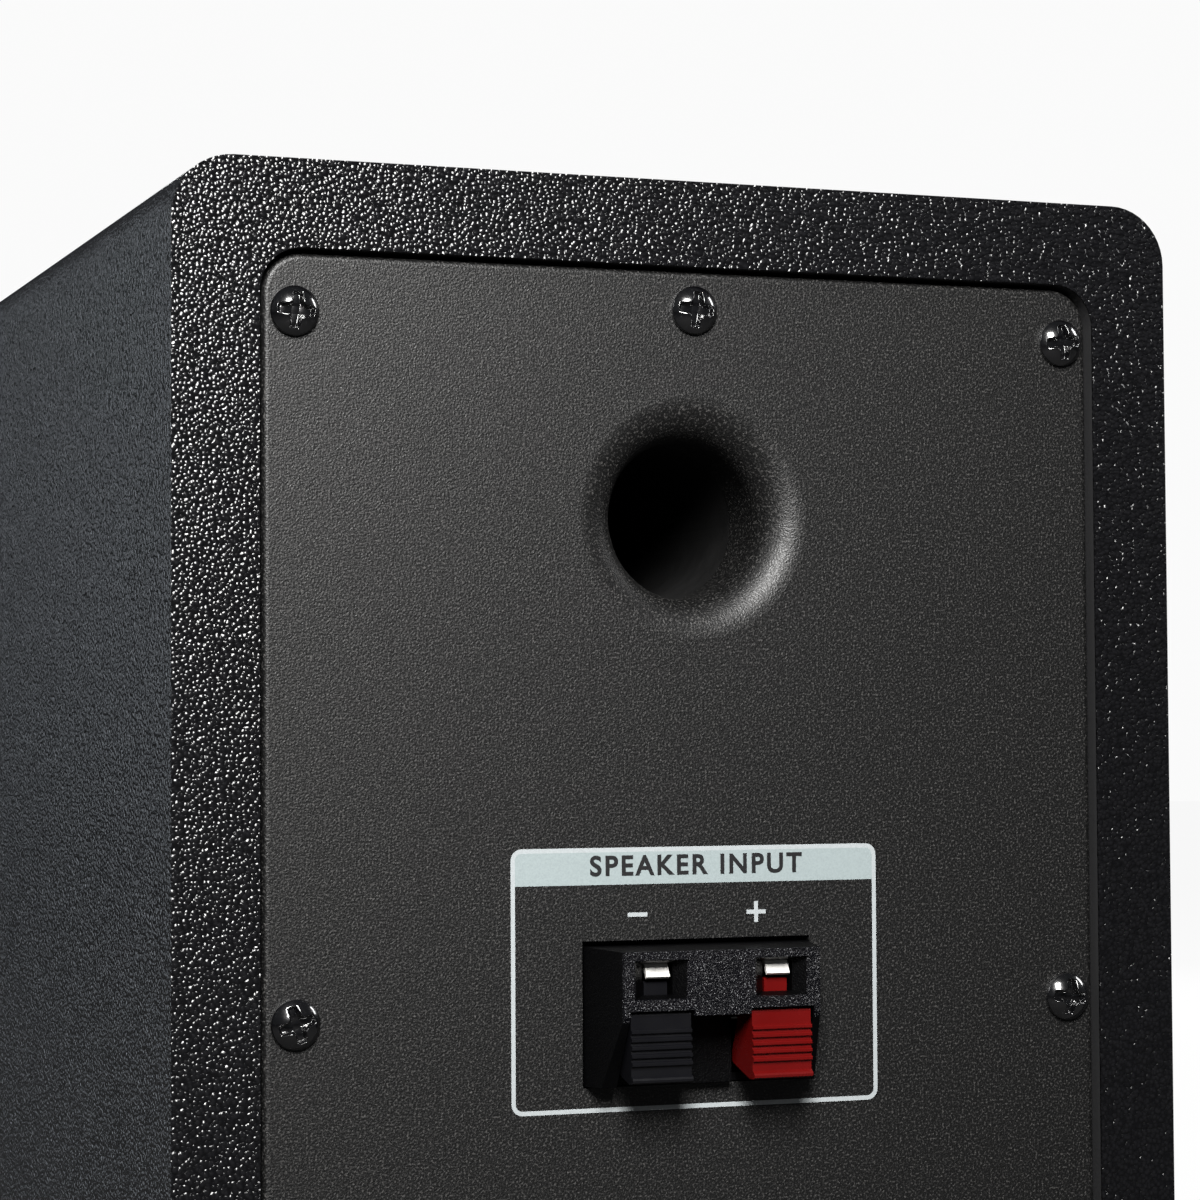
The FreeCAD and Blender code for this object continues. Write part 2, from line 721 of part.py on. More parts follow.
def make_housing():
    """Terminal block: a raised face with two wire wells above two open lever bays."""
    housing = new_body("terminal_housing", REAR, AT_TERMINAL)
    base_middle = "(base_top - base_bottom) / 2"
    base_height = "base_top + base_bottom"
    base = rectangle(new_sketch(housing, offset="-plate_sink"), "base_width", base_height,
                     "0", base_middle)
    face = rectangle(new_sketch(housing, offset="face_reach"), "face_width",
                     "face_top + base_bottom - 0.3", "0", "(face_top - base_bottom + 0.3) / 2")
    loft(housing, base, face)
    root = rectangle(new_sketch(housing, offset="-plate_sink"), "base_width", base_height,
                     "0", base_middle)
    pad(housing, root, f"flange_thick - {PLATE_BACK} - plate_sink", reverse=True)
    flange = new_sketch(housing, offset=PLATE_BACK)
    rectangle(flange, "flange_width", "flange_height")
    for side in ("", "-"):
        circle(flange, "post_radius + 0.15", f"{side}post_across")
    pad(housing, flange, "flange_thick", reverse=True)

    slope = outline(new_sketch(housing, "YZ"), [
        ("face_bottom", "face_reach + 1"),
        ("face_bottom", "face_reach"),
        ("-base_bottom - 1", "gusset_reach - 0.5"),
        ("-base_bottom - 1", "face_reach + 1"),
    ])
    pocket(housing, slope, "base_width + 2", centred=True)
    recess = outline(new_sketch(housing, "YZ"), [
        ("face_bottom", "face_reach + 1"),
        ("face_bottom", "face_reach"),
        ("face_bottom - 1", "bay_floor"),
        ("-base_bottom - 1", "bay_floor"),
        ("-base_bottom - 1", "face_reach + 1"),
    ])
    pocket(housing, recess, "lever_pitch + bay_width", centred=True)

    for name, across in lever_sides():
        well = rectangle(new_sketch(housing, offset="face_reach"), "well_width", "well_height",
                         across, "well_rise")
        throat = rectangle(new_sketch(housing, offset="throat_reach"), "throat_width",
                           "throat_height", across, "well_rise")
        loft(housing, well, throat, cut=True)
        bay_back = f"{PLATE_BACK} - flange_thick - 1"
        bay = outline(new_sketch(housing, "YZ", across), [
            ("notch_top", "face_reach + 1"),
            ("-base_bottom - 1", "face_reach + 1"),
            ("-base_bottom - 1", "-plate_sink"),
            ("-base_bottom + 1", "-plate_sink"),
            ("-base_bottom + 1", bay_back),
            ("notch_top + 1.3", bay_back),
            ("notch_top + 1.3", "2.1"),
            ("notch_top", "3.4"),
        ])
        pocket(housing, bay, "bay_width", centred=True)
        slot = outline(new_sketch(housing, "YZ", across), [
            ("face_bottom - 1", "slot_front"),
            ("face_bottom - 1", bay_back),
            ("contact_rise + contact_thick", bay_back),
            ("contact_rise + contact_thick", "throat_reach"),
            ("well_rise - throat_height / 2", "throat_reach"),
            ("well_rise - throat_height / 2 - 0.6", "slot_front"),
        ])
        pocket(housing, slot, "arm_room", centred=True)
    bore = circle(new_sketch(housing, "YZ"), "pin_radius + pin_fit", "-pivot_drop", "-pivot_depth")
    pocket(housing, bore, "pin_length + 0.6", centred=True)


def make_push_nuts():
    nut = new_body("push_nut_pattern", keep=False)
    sketch = circle(circle(new_sketch(nut), "nut_radius"), "post_radius + 0.02")
    pad(nut, sketch, "nut_thick", reverse=True)
    places = [(f"{side}post_across", f"{REAR_Y} + {PLATE_BACK} - flange_thick", TERMINAL_Z)
              for side in ("", "-")]
    group("terminal_push_nuts", nut, places, REAR)


def make_pivot_pin():
    pin = new_body("terminal_pivot_pin", REAR, AT_TERMINAL)
    sketch = circle(new_sketch(pin, "YZ"), "pin_radius", "-pivot_drop", "-pivot_depth")
    pad(pin, sketch, "pin_length", centred=True)


def ridge_points():
    """Five rounded ridges down the face, each a little further out than the one above."""
    points = []
    for number in range(5):
        middle = f"-ridge_start - {number} * ridge_pitch"
        foot = f"lever_face + {number} * 0.04"
        points.append((f"{middle} + ridge_half + 0.12", foot))
        points.append((f"{middle} + ridge_half", f"{foot} + ridge_rise - 0.08"))
        points.append((f"{middle} + ridge_half - 0.08", f"{foot} + ridge_rise"))
        points.append((f"{middle} - ridge_half + 0.08", f"{foot} + ridge_rise"))
        points.append((f"{middle} - ridge_half", f"{foot} + ridge_rise - 0.08"))
        points.append((f"{middle} - ridge_half - 0.12", foot))
    return points


def make_lever(name, across):
    """A thumb lever: a ridged upright face outside, and an arm that reaches up behind the well."""
    lever = new_body(f"lever_{name}", REAR, AT_TERMINAL)
    face_points = [
        ("lever_top", "2.8"),
        ("lever_top", "lever_face - 0.35"),
        ("lever_top - 0.1", "lever_face - 0.1"),
        ("lever_top - 0.35", "lever_face"),
    ]
    lip_points = [
        ("-lip_drop + 1.2", "lever_face + 0.12"),
        ("-lip_drop + 0.55", "lever_face + 0.15"),
        ("-lip_drop + 0.25", "lever_reach - 0.15"),
        ("-lip_drop", "lever_reach"),
        ("-lip_drop - 0.3", "lever_reach - 0.05"),
        ("-lip_drop - 0.5", "lever_reach - 0.4"),
        ("-lip_drop - 0.5", "lever_face - 1"),
        ("-lip_drop + 1.2", "0.4"),
        ("-lip_drop + 2.6", "0.4"),
    ]
    head = outline(new_sketch(lever, "YZ", across), face_points + ridge_points() + lip_points)
    pad(lever, head, "lever_width", centred=True)
    arm = outline(new_sketch(lever, "YZ", across), [
        ("-pivot_drop", "-pivot_depth - hub_radius"),
        ("-pivot_drop + 1.2", "-pivot_depth - hub_radius"),
        ("-pivot_drop + hub_radius", "-pivot_depth - 1"),
        ("arm_top - 2.1", "arm_front - 4.3"),
        ("arm_top", "arm_front - 1.9"),
        ("arm_top", "arm_front - 0.25"),
        ("arm_top - 0.25", "arm_front"),
        ("arm_top - 2.3", "arm_front"),
        ("arm_top - 3.3", "arm_front - 0.9"),
        ("lever_top - 0.3", "arm_front - 0.9"),
        ("-lip_drop + 2", "arm_front - 0.5"),
        ("-lip_drop + 2", "0.6"),
        ("-pivot_drop - hub_radius", "-pivot_depth + 0.6"),
        ("-pivot_drop - hub_radius", "-pivot_depth - 1"),
        ("-pivot_drop - 1.2", "-pivot_depth - hub_radius"),
    ])
    pad(lever, arm, "arm_width", centred=True)
    bore = circle(new_sketch(lever, "YZ", across), "pin_radius + pin_fit", "-pivot_drop",
                  "-pivot_depth")
    pocket(lever, bore, "lever_width + 4", centred=True)


def make_contact(name, across):
    """Tinned strip: a lip that shows in the well, and a solder tab inside the cabinet."""
    contact = new_body(f"contact_{name}", REAR, AT_TERMINAL)
    strip = outline(new_sketch(contact, "YZ", across), [
        ("contact_rise", "-contact_back"),
        ("contact_rise + contact_thick", "-contact_back"),
        ("contact_rise + contact_thick", "contact_bend"),
        ("contact_lip", "contact_tip"),
        ("contact_lip - contact_thick / 2", "contact_tip - contact_thick * 0.87"),
        ("contact_rise", "contact_bend - 0.3"),
    ])
    pad(contact, strip, "contact_width", centred=True)


def make_lever_spring(name, across):
    """Small close-wound torsion coil round the pivot pin, beside the lever's arm."""
    spring = doc.addObject("Part::Feature", f"lever_spring_{name}")
    spring.Label = f"lever_spring_{name}"
    radius, wire, pitch = value("spring_radius"), value("spring_wire"), value("spring_pitch")
    turns = [Part.makeTorus(radius, wire, V(0, 0, number * pitch))
             for number in range(SPRING_TURNS)]
    spring.Shape = Part.makeCompound(turns)
    start = f"(-1 * ({across}) - arm_width / 2 - 0.6)"
    place(spring, FreeCAD.Rotation(V(0, 1, 0), -90),
          (start, f"{REAR_Y} - pivot_depth", f"{TERMINAL_Z} - pivot_drop"))
    pieces.append(spring)


def make_terminal():
    make_housing()
    make_push_nuts()
    make_pivot_pin()
    for name, across in lever_sides():
        make_lever(name, across)
        make_contact(name, across)
        make_lever_spring(name, across)


# ---------------------------------------------------------------- woofer
COIL_OUTER = "(coil_inner + former_wall)"
WINDING_OUTER = f"({COIL_OUTER} + winding_wall)"


def dome_radius(half_span, rise):
    """The radius of an arc that rises this much over half its span."""
    return f"(({half_span}) * ({half_span}) + ({rise}) * ({rise})) / (2 * ({rise}))"


def round_piece(label, at, points, frame=FRONT):
    body = new_body(label, frame, at)
    revolve(body, points)
    return body


def ring(label, at, inner, outer, back, front):
    """A plain ring or disc between two depths."""
    return round_piece(label, at, [(inner, back), (outer, back), (outer, front), (inner, front)])


def drill_square(body, spread, radius, start, depth):
    """Four screw holes at 45 degrees, cut inwards from a depth."""
    sketch = new_sketch(body, offset=start)
    for across, up in square_places(spread):
        circle(sketch, radius, across, up)
    pocket(body, sketch, depth)


def make_basket():
    """Pressed steel frame: flange, open conical wall, spider ledge and magnet seat."""
    basket = round_piece("woofer_basket", AT_WOOFER, [
        ("38.0", "-0.2"),
        ("38.0", "-1.8"),
        ("36.5", "-13.6"),
        ("31.0", "-22.0"),
        ("25.5", "-22.0"),
        ("25.5", "-30.0"),
        ("13.5", "-30.0"),
        ("13.5", "-30.0 - basket_wall"),
        ("25.5 + basket_wall", "-30.0 - basket_wall"),
        ("25.5 + basket_wall", "-22.0 - basket_wall"),
        ("31.5", "-22.0 - basket_wall"),
        ("37.5", "-14.0"),
        ("39.2", "-0.2 - basket_wall"),
        ("flange_radius", "-0.2 - basket_wall"),
        ("flange_radius", "-0.2"),
    ])
    drill_square(basket, "woofer_pcd_radius", "driver_screw_hole", "-0.2", "basket_wall + 0.1")
    window = outline(new_sketch(basket, offset="-4.0"), [
        ("26.0", "-13.0"), ("45.0", "-21.0"), ("45.0", "21.0"), ("26.0", "13.0")])
    polar(basket, pocket(basket, window, "16.5"), 4)


def make_woofer_screws():
    screw = pan_screw("woofer_screw_pattern", "driver_screw_head", "0.6", "1.5",
                      "driver_screw_shank", "driver_screw_reach", "1.7", "0.4", "1.1")
    seat = "0.4"
    places = [(across, f"{FRONT_Y} - {seat}", f"foot_height + woofer_rise + {up}")
              for across, up in square_places("woofer_pcd_radius")]
    group("woofer_screws", screw, places, FRONT)


def make_woofer_trim():
    """Moulded ring over the flange, with a sunk seat for each screw."""
    trim = round_piece("woofer_trim_ring", AT_WOOFER, [
        ("trim_radius", "-0.2"),
        ("trim_radius", "1.2"),
        ("trim_radius - 0.8", "trim_proud", "0.8"),
        ("trim_inner + 1.6", "trim_proud"),
        ("trim_inner", "0.9"),
        ("trim_inner", "0.3"),
        ("trim_inner + 1.2", "0.3"),
        ("trim_inner + 1.2", "-0.2"),
    ])
    drill_square(trim, "woofer_pcd_radius", "driver_screw_seat", "trim_proud", "trim_proud - 0.4")
    drill_square(trim, "woofer_pcd_radius", "driver_screw_hole", "trim_proud", "trim_proud + 0.5")


def make_woofer_cone():
    """Paper cone with a flat lip for the surround, glued to the coil former."""
    round_piece("woofer_cone", AT_WOOFER, [
        (COIL_OUTER, "-17.4"),
        (COIL_OUTER, "-16.8"),
        ("30.6", "-2.9"),
        ("32.4", "-2.6"),
        ("32.4", "-3.1"),
        ("30.8", "-3.4"),
    ])
    round_piece("woofer_dust_cap", AT_WOOFER, [
        ("14.6", "-15.05"),
        ("14.6", "-14.6"),
        ("0", "-10.2", dome_radius("14.6", "4.4")),
        ("0", "-10.7"),
        ("14.0", "-15.05", f"-1 * {dome_radius('14.0', '4.35')}"),
    ])
    ring("woofer_coil_former", AT_WOOFER, "coil_inner", COIL_OUTER, "-37.0", "-16.0")
    ring("woofer_voice_coil", AT_WOOFER, COIL_OUTER, WINDING_OUTER, "-37.0", "-29.0")


def make_woofer_surround():
    """Half-roll rubber edge between the cone's lip and the flange."""
    round_piece("woofer_surround", AT_WOOFER, [
        ("31.0", "-2.5"),
        ("32.6", "-2.5"),
        ("33.2", "-1.6"),
        ("38.6", "-0.2", "-3.0"),
        ("40.0", "-0.2"),
        ("40.0", "0.3"),
        ("38.4", "0.3"),
        ("32.7", "-1.2", "3.5"),
        ("32.3", "-2.0"),
        ("31.0", "-2.0"),
    ])


def make_spider():
    """Corrugated disc that centres the coil, glued to the basket's ledge."""
    waves = 5
    top = []
    for number in range(waves):
        start = 15.0 + 2.2 * number
        top.append((f"{start + 1.1:.2f}", "-20.9"))
        top.append((f"{start + 2.2:.2f}", "-21.5"))
    bottom = [(across, f"{up} - 0.35") for across, up in reversed(top)]
    round_piece("woofer_spider", AT_WOOFER, [
        (f"{COIL_OUTER} + 0.05", "-21.85"),
        (f"{COIL_OUTER} + 0.05", "-21.5"),
        ("15.0", "-21.5"),
        *top,
        ("29.5", "-21.5"),
        ("29.5", "-22.0"),
        ("26.2", "-22.0"),
        *bottom,
        ("15.0", "-21.85"),
    ])


def make_woofer_motor():
    gap_outer = f"{WINDING_OUTER} + air_gap"
    pole = "coil_inner - air_gap"
    ring("woofer_top_plate", AT_WOOFER, gap_outer, "30.0", "-35.0", "-31.0")
    ring("woofer_magnet", AT_WOOFER, "17.0", "32.0", "-47.0", "-35.0")
    round_piece("woofer_yoke", AT_WOOFER, [
        ("0", "-51.0"),
        ("29.0", "-51.0"),
        ("30.0", "-50.0"),
        ("30.0", "-47.0"),
        (pole, "-47.0"),
        (pole, "-31.0"),
        ("0", "-31.0"),
    ])


def make_woofer():
    gasket = ring("woofer_gasket", AT_WOOFER, "woofer_hole", "flange_radius",
                  "-woofer_recess_depth", "-woofer_recess_depth + foam_thick")
    drill_square(gasket, "woofer_pcd_radius", "driver_screw_hole", "0", "woofer_recess_depth + 1")
    make_basket()
    make_woofer_trim()
    make_woofer_surround()
    make_woofer_cone()
    make_spider()
    make_woofer_motor()
    make_woofer_screws()


# ---------------------------------------------------------------- tweeter
def make_faceplate():
    """Faceplate with a shallow waveguide round the dome."""
    plate = round_piece("tweeter_faceplate", AT_TWEETER, [
        ("tweeter_radius", "-tweeter_recess_depth"),
        ("tweeter_radius", "tweeter_proud - 0.8"),
        ("tweeter_radius - 0.8", "tweeter_proud", "0.8"),
        ("32.0", "tweeter_proud"),
        ("tweeter_throat", "-6.5", "26.0"),
        ("tweeter_throat", "-8.0"),
        ("tweeter_neck", "-8.0"),
        ("tweeter_neck", "-tweeter_recess_depth"),
    ])
    drill_square(plate, "tweeter_pcd_radius", "driver_screw_seat", "tweeter_proud", "1.8")
    drill_square(plate, "tweeter_pcd_radius", "driver_screw_hole", "0", "4.0")


def make_tweeter():
    make_faceplate()
    round_piece("tweeter_dome", AT_TWEETER, [
        ("12.7", "-8.0"),
        ("12.7", "-7.5"),
        ("12.3", "-7.5"),
        ("0", "-3.4", dome_radius("12.3", "4.1")),
        ("0", "-3.7"),
        ("12.0", "-8.0", f"-1 * {dome_radius('12.0', '4.3')}"),
    ])
    round_piece("tweeter_surround", AT_TWEETER, [
        ("12.9", "-7.9"),
        ("12.9", "-7.6"),
        ("14.0", "-7.6", "-0.6"),
        ("14.0", "-8.0"),
        ("17.0", "-8.0"),
        ("17.0", "-8.3"),
        ("13.7", "-8.3"),
        ("13.7", "-7.9"),
        ("13.1", "-7.9", "0.32"),
    ])
    ring("tweeter_voice_coil", AT_TWEETER, "12.4", "12.8", "-12.2", "-8.0")
    ring("tweeter_top_plate", AT_TWEETER, "12.8 + air_gap", "25.5", "-11.5", "-8.5")
    ring("tweeter_magnet", AT_TWEETER, "17.0", "25.0", "-18.5", "-11.5")
    round_piece("tweeter_yoke", AT_TWEETER, [
        ("0", "-21.5"),
        ("24.0", "-21.5"),
        ("24.0", "-18.5"),
        ("12.4 - air_gap", "-18.5"),
        ("12.4 - air_gap", "-9.2"),
        ("0", "-9.2"),
    ])
    screw = pan_screw("tweeter_screw_pattern", "driver_screw_head", "0.6", "1.5",
                      "driver_screw_shank", "driver_screw_reach", "1.7", "0.4", "1.1")
    seat = "(tweeter_proud - 1.8)"
    places = [(across, f"{FRONT_Y} - {seat}", f"foot_height + tweeter_rise + {up}")
              for across, up in square_places("tweeter_pcd_radius")]
    group("tweeter_screws", screw, places, FRONT)


# ---------------------------------------------------------------- crossover, wires, damping
BOARD_TOP = f"({FLOOR_Z} + standoff_height + crossover_thick)"


def crossover_corners():
    return [(f"{side}(crossover_width / 2 - 4)", f"crossover_middle + {level}(crossover_length / 2 - 4)")
            for side in ("", "-1 * ") for level in ("", "-1 * ")]


def make_crossover():
    board = new_body("crossover_board", LEVEL, ("0", "crossover_middle", BOARD_TOP))
    sketch = rectangle(new_sketch(board), "crossover_width", "crossover_length")
    for across, along in crossover_corners():
        circle(sketch, "1.6", across, f"{along} - crossover_middle")
    pad(board, sketch, "crossover_thick", reverse=True)

    standoff = new_body("standoff_pattern", keep=False)
    pad(standoff, circle(circle(new_sketch(standoff), "3.0"), "1.55"), "standoff_height")
    group("crossover_standoffs", standoff,
          [(across, along, FLOOR_Z) for across, along in crossover_corners()], LEVEL)
    screw = pan_screw("crossover_screw_pattern", "2.7", "0.6", "1.4", "1.4",
                      "standoff_height + crossover_thick", "1.6", "0.4", "1.0")
    group("crossover_screws", screw,
          [(across, along, BOARD_TOP) for across, along in crossover_corners()], LEVEL)

    capacitor = new_body("crossover_capacitor", LEVEL, ("22", "crossover_middle - 10", BOARD_TOP))
    pad(capacitor, circle(new_sketch(capacitor, "XZ"), "6.5", "0", "6.5"), "26", centred=True)
    bobbin = new_body("crossover_inductor_bobbin", LEVEL, ("-22", "crossover_middle + 4", BOARD_TOP))
    revolve(bobbin, [
        ("4.0", "0"), ("13.0", "0"), ("13.0", "1.2"), ("6.0", "1.2"),
        ("6.0", "12.8"), ("13.0", "12.8"), ("13.0", "14.0"), ("4.0", "14.0"),
    ])
    winding = new_body("crossover_inductor_winding", LEVEL,
                       ("-22", "crossover_middle + 4", BOARD_TOP))
    revolve(winding, [("6.0", "1.2"), ("12.0", "1.2"), ("12.0", "12.8"), ("6.0", "12.8")])
    block("crossover_resistor", "22", "8", "8", ("20", "crossover_middle + 14", BOARD_TOP))


def make_wires():
    tab_y = f"{REAR_Y} - contact_back"
    tab_z = f"{TERMINAL_Z} + contact_rise + contact_thick / 2"
    for name, across in lever_sides():
        wires(f"input_wire_{name}", [f"-1 * ({across})"], [
            (tab_y, tab_z),
            (f"{tab_y} - 14", tab_z),
            (f"{tab_y} - 24", f"{tab_z} - 30"),
            ("crossover_middle - 4", f"{BOARD_TOP} + 30"),
            ("crossover_middle - 4", BOARD_TOP),
        ])
    pair = ["-3.0", "3.0"]
    front_edge = "crossover_middle - crossover_length / 2 + 4"
    wires("woofer_wires", pair, [
        (front_edge, BOARD_TOP),
        (front_edge, f"{BOARD_TOP} + 10"),
        (f"{front_edge} - 22", f"{BOARD_TOP} + 9"),
        (f"{FRONT_Y} + 34", "foot_height + woofer_rise - 33"),
        (f"{FRONT_Y} + 24.5", "foot_height + woofer_rise - 30.5"),
    ])
    wires("tweeter_wires", pair, [
        (f"{front_edge} + 6", BOARD_TOP),
        (f"{front_edge} + 6", f"{BOARD_TOP} + 80"),
        (f"{front_edge} - 20", "foot_height + tweeter_rise - 14"),
        (f"{FRONT_Y} + 30", "foot_height + tweeter_rise - 12"),
        (f"{FRONT_Y} + 21.5", "foot_height + tweeter_rise - 12"),
    ])


def make_damping():
    side_x = f"({INNER_WIDTH} / 2 - pad_thick / 2)"
    middle_y = f"({BOARDS_Y} - {BOARDS_DEPTH} / 2)"
    side_z = f"({MIDDLE_Z} - 60)"
    block("damping_pad_right", "pad_thick", "110", "145", (side_x, middle_y, side_z))
    block("damping_pad_left", "pad_thick", "110", "145", (f"-1 * {side_x}", middle_y, side_z))
    top_z = f"({TOP_Z} - vinyl_thick - board_thick - pad_thick)"
    block("damping_pad_top", "76", "110", "pad_thick", ("0", middle_y, top_z))


# ---------------------------------------------------------------- build, check, export
def check_and_export():
    doc.recompute()
    for item in doc.Objects:
        if any(state in ("Invalid", "Error") for state in item.State):
            raise RuntimeError(f"{item.Label} is {item.State}")
    for piece in pieces:
        if piece.Shape.isNull() or not piece.Shape.isValid() or not piece.Shape.Solids:
            raise RuntimeError(f"{piece.Label} has no sound shape")
    os.makedirs("parts", exist_ok=True)
    for piece in pieces:
        piece.Shape.exportStep(f"parts/{piece.Label}.step")


make_boards()
make_glue_blocks()
make_vinyl()
make_rear_frame()
make_feet()
make_baffle()
make_rear_plate()
make_gasket()
make_plate_screws()
make_port_tube()
make_terminal()
make_woofer()
make_tweeter()
make_crossover()
make_wires()
make_damping()
check_and_export()
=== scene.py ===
"""Looks for the bookshelf speaker: materials, printed label, screws, woofer edge, light and camera.

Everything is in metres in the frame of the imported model: +Z up, drivers towards -Y, terminals
towards +Y. Sizes are in millimetres where their name ends in _MM, and are scaled by MM in use.
"""
import math

import bmesh
import bpy
import numpy as np
from mathutils import Matrix, Vector, noise


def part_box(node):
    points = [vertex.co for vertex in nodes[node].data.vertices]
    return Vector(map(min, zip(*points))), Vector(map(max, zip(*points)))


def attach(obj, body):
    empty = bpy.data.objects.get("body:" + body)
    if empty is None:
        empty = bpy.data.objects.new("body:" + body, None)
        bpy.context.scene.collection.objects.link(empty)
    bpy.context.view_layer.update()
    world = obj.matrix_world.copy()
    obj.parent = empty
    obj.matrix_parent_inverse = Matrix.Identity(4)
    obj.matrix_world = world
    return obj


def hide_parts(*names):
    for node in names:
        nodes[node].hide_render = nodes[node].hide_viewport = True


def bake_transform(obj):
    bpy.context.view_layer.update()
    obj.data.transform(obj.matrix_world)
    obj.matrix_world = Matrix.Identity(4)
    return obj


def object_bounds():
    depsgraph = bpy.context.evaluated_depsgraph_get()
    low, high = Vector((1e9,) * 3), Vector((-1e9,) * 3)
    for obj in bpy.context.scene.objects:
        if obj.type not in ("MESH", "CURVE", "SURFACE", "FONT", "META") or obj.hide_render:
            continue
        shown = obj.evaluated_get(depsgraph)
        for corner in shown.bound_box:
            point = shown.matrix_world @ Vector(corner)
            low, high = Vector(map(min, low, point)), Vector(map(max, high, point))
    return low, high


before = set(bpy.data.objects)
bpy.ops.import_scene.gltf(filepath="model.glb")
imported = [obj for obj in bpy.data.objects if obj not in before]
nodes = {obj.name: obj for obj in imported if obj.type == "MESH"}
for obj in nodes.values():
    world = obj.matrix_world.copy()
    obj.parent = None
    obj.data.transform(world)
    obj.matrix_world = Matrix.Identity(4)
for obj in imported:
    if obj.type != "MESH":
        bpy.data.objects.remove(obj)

MM = 0.001
cad_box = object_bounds()

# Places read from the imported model.
cabinet_low, cabinet_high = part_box("vinyl_wrap")
TOP = cabinet_high.z
REAR = cabinet_high.y
PLATE_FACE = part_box("rear_plate")[1].y
HOUSING_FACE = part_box("terminal_housing")[1].y
GROUND = cad_box[0].z


# ---------------------------------------------------------------- node helpers
class Recipe:
    """A material made of shader nodes, with its Principled node ready."""

    def __init__(self, name, colour, rough, metallic=0.0):
        self.material = bpy.data.materials.new(name)
        self.material.use_nodes = True
        self.tree = self.material.node_tree
        self.shader = self.tree.nodes["Principled BSDF"]
        self.shader.inputs["Base Color"].default_value = (*colour, 1)
        self.shader.inputs["Roughness"].default_value = rough
        self.shader.inputs["Metallic"].default_value = metallic
        self.material.diffuse_color = (*colour, 1)
        self.place = self.add("ShaderNodeTexCoord").outputs["Object"]

    def add(self, kind, **inputs):
        """A new node. Keywords in capitals set inputs, others set properties."""
        made = self.tree.nodes.new(kind)
        for key, setting in inputs.items():
            if key[0].isupper():
                self.feed(made.inputs[key.replace("_", " ")], setting)
            else:
                setattr(made, key, setting)
        return made

    def feed(self, socket, setting):
        if isinstance(setting, bpy.types.NodeSocket):
            self.tree.links.new(setting, socket)
        else:
            socket.default_value = setting

    def noise(self, size_mm, detail=2.0, rough=0.5, **more):
        """Noise whose lumps are about this big."""
        made = self.add("ShaderNodeTexNoise", Vector=self.place, Scale=1 / (size_mm * MM),
                        Detail=detail, Roughness=rough, **more)
        return made.outputs["Fac"]

    def cells(self, size_mm, vector=None):
        """Distance from the middle of the nearest of cells about this big."""
        made = self.add("ShaderNodeTexVoronoi", feature="F1", Scale=1 / (size_mm * MM),
                        Vector=vector or self.place)
        return made.outputs["Distance"]

    def ramp(self, factor, *stops):
        """A ramp through (position, colour or grey) stops."""
        made = self.add("ShaderNodeValToRGB", Fac=factor)
        while len(made.color_ramp.elements) < len(stops):
            made.color_ramp.elements.new(0.5)
        for element, (position, colour) in zip(made.color_ramp.elements, stops):
            element.position = position
            grey = isinstance(colour, (int, float))
            element.color = (colour, colour, colour, 1) if grey else (*colour, 1)
        return made.outputs["Color"]

    def math(self, operation, first, second):
        made = self.add("ShaderNodeMath", operation=operation)
        self.feed(made.inputs[0], first)
        self.feed(made.inputs[1], second)
        return made.outputs["Value"]

    def spread(self, factor, low, high):
        """Stretches a 0 to 1 factor to a range."""
        made = self.add("ShaderNodeMapRange", Value=factor)
        made.inputs["To Min"].default_value = low
        made.inputs["To Max"].default_value = high
        return made.outputs["Result"]

    def bump(self, height, depth_mm):
        return self.add("ShaderNodeBump", Height=height, Distance=depth_mm * MM).outputs["Normal"]

    def finish(self, colour, rough=None, normal=None):
        """Links what is given to the Principled node and returns the material."""
        for name, socket in (("Base Color", colour), ("Roughness", rough), ("Normal", normal)):
            if socket is not None:
                self.feed(self.shader.inputs[name], socket)
        return self.material


def moulded(name, colour, rough, grain_mm=0.12, depth_mm=0.01, worn=0.1):
    """Moulded plastic: fine spark grain, slight unevenness in tone and gloss."""
    made = Recipe(name, colour, rough)
    patch = made.noise(14, 3)
    lighter = tuple(min(1.0, channel * (1 + worn * 3)) for channel in colour)
    tone = made.ramp(patch, (0.35, colour), (0.75, lighter))
    gloss = made.spread(made.noise(3, 4), rough - worn, rough + worn)
    return made.finish(tone, gloss, made.bump(made.noise(grain_mm, 2, 0.6), depth_mm))


# ---------------------------------------------------------------- materials
PEBBLE_MM = 0.58
PEBBLE_HEIGHT_MM = 0.19
PEBBLE_SHIFT = 0.0004
PLATE_GRAIN_MM = 0.27
PLATE_GRAIN_HEIGHT_MM = 0.075
HOUSING_SKIN_MM = 0.4
DRAWN_LINE_MM = 0.08


def vinyl():
    """Black laminate pressed with a small pebble grain that glints where a pebble faces a light."""
    made = Recipe("black_pebble_vinyl", (0.008, 0.008, 0.009), 0.25)
    made.shader.inputs["Specular IOR Level"].default_value = 0.38
    bend = made.add("ShaderNodeTexNoise", Vector=made.place, Scale=900.0, Detail=1.0)
    offset = made.add("ShaderNodeVectorMath", operation="MULTIPLY_ADD")
    made.feed(offset.inputs[0], bend.outputs["Color"])
    offset.inputs[1].default_value = (PEBBLE_SHIFT, PEBBLE_SHIFT, PEBBLE_SHIFT)
    made.feed(offset.inputs[2], made.place)
    pebbles = made.cells(PEBBLE_MM, offset.outputs["Vector"])
    domes = made.math("SUBTRACT", 1.0, made.math("MULTIPLY", pebbles, pebbles))
    # The valleys between pebbles are coloured darker than the tops: painted shade in the valleys.
    tone = made.ramp(pebbles, (0.1, (0.008, 0.008, 0.009)), (0.6, (0.003, 0.003, 0.0035)))
    gloss = made.spread(made.noise(1.1, 2), 0.14, 0.24)
    return made.finish(tone, gloss, made.bump(domes, PEBBLE_HEIGHT_MM))


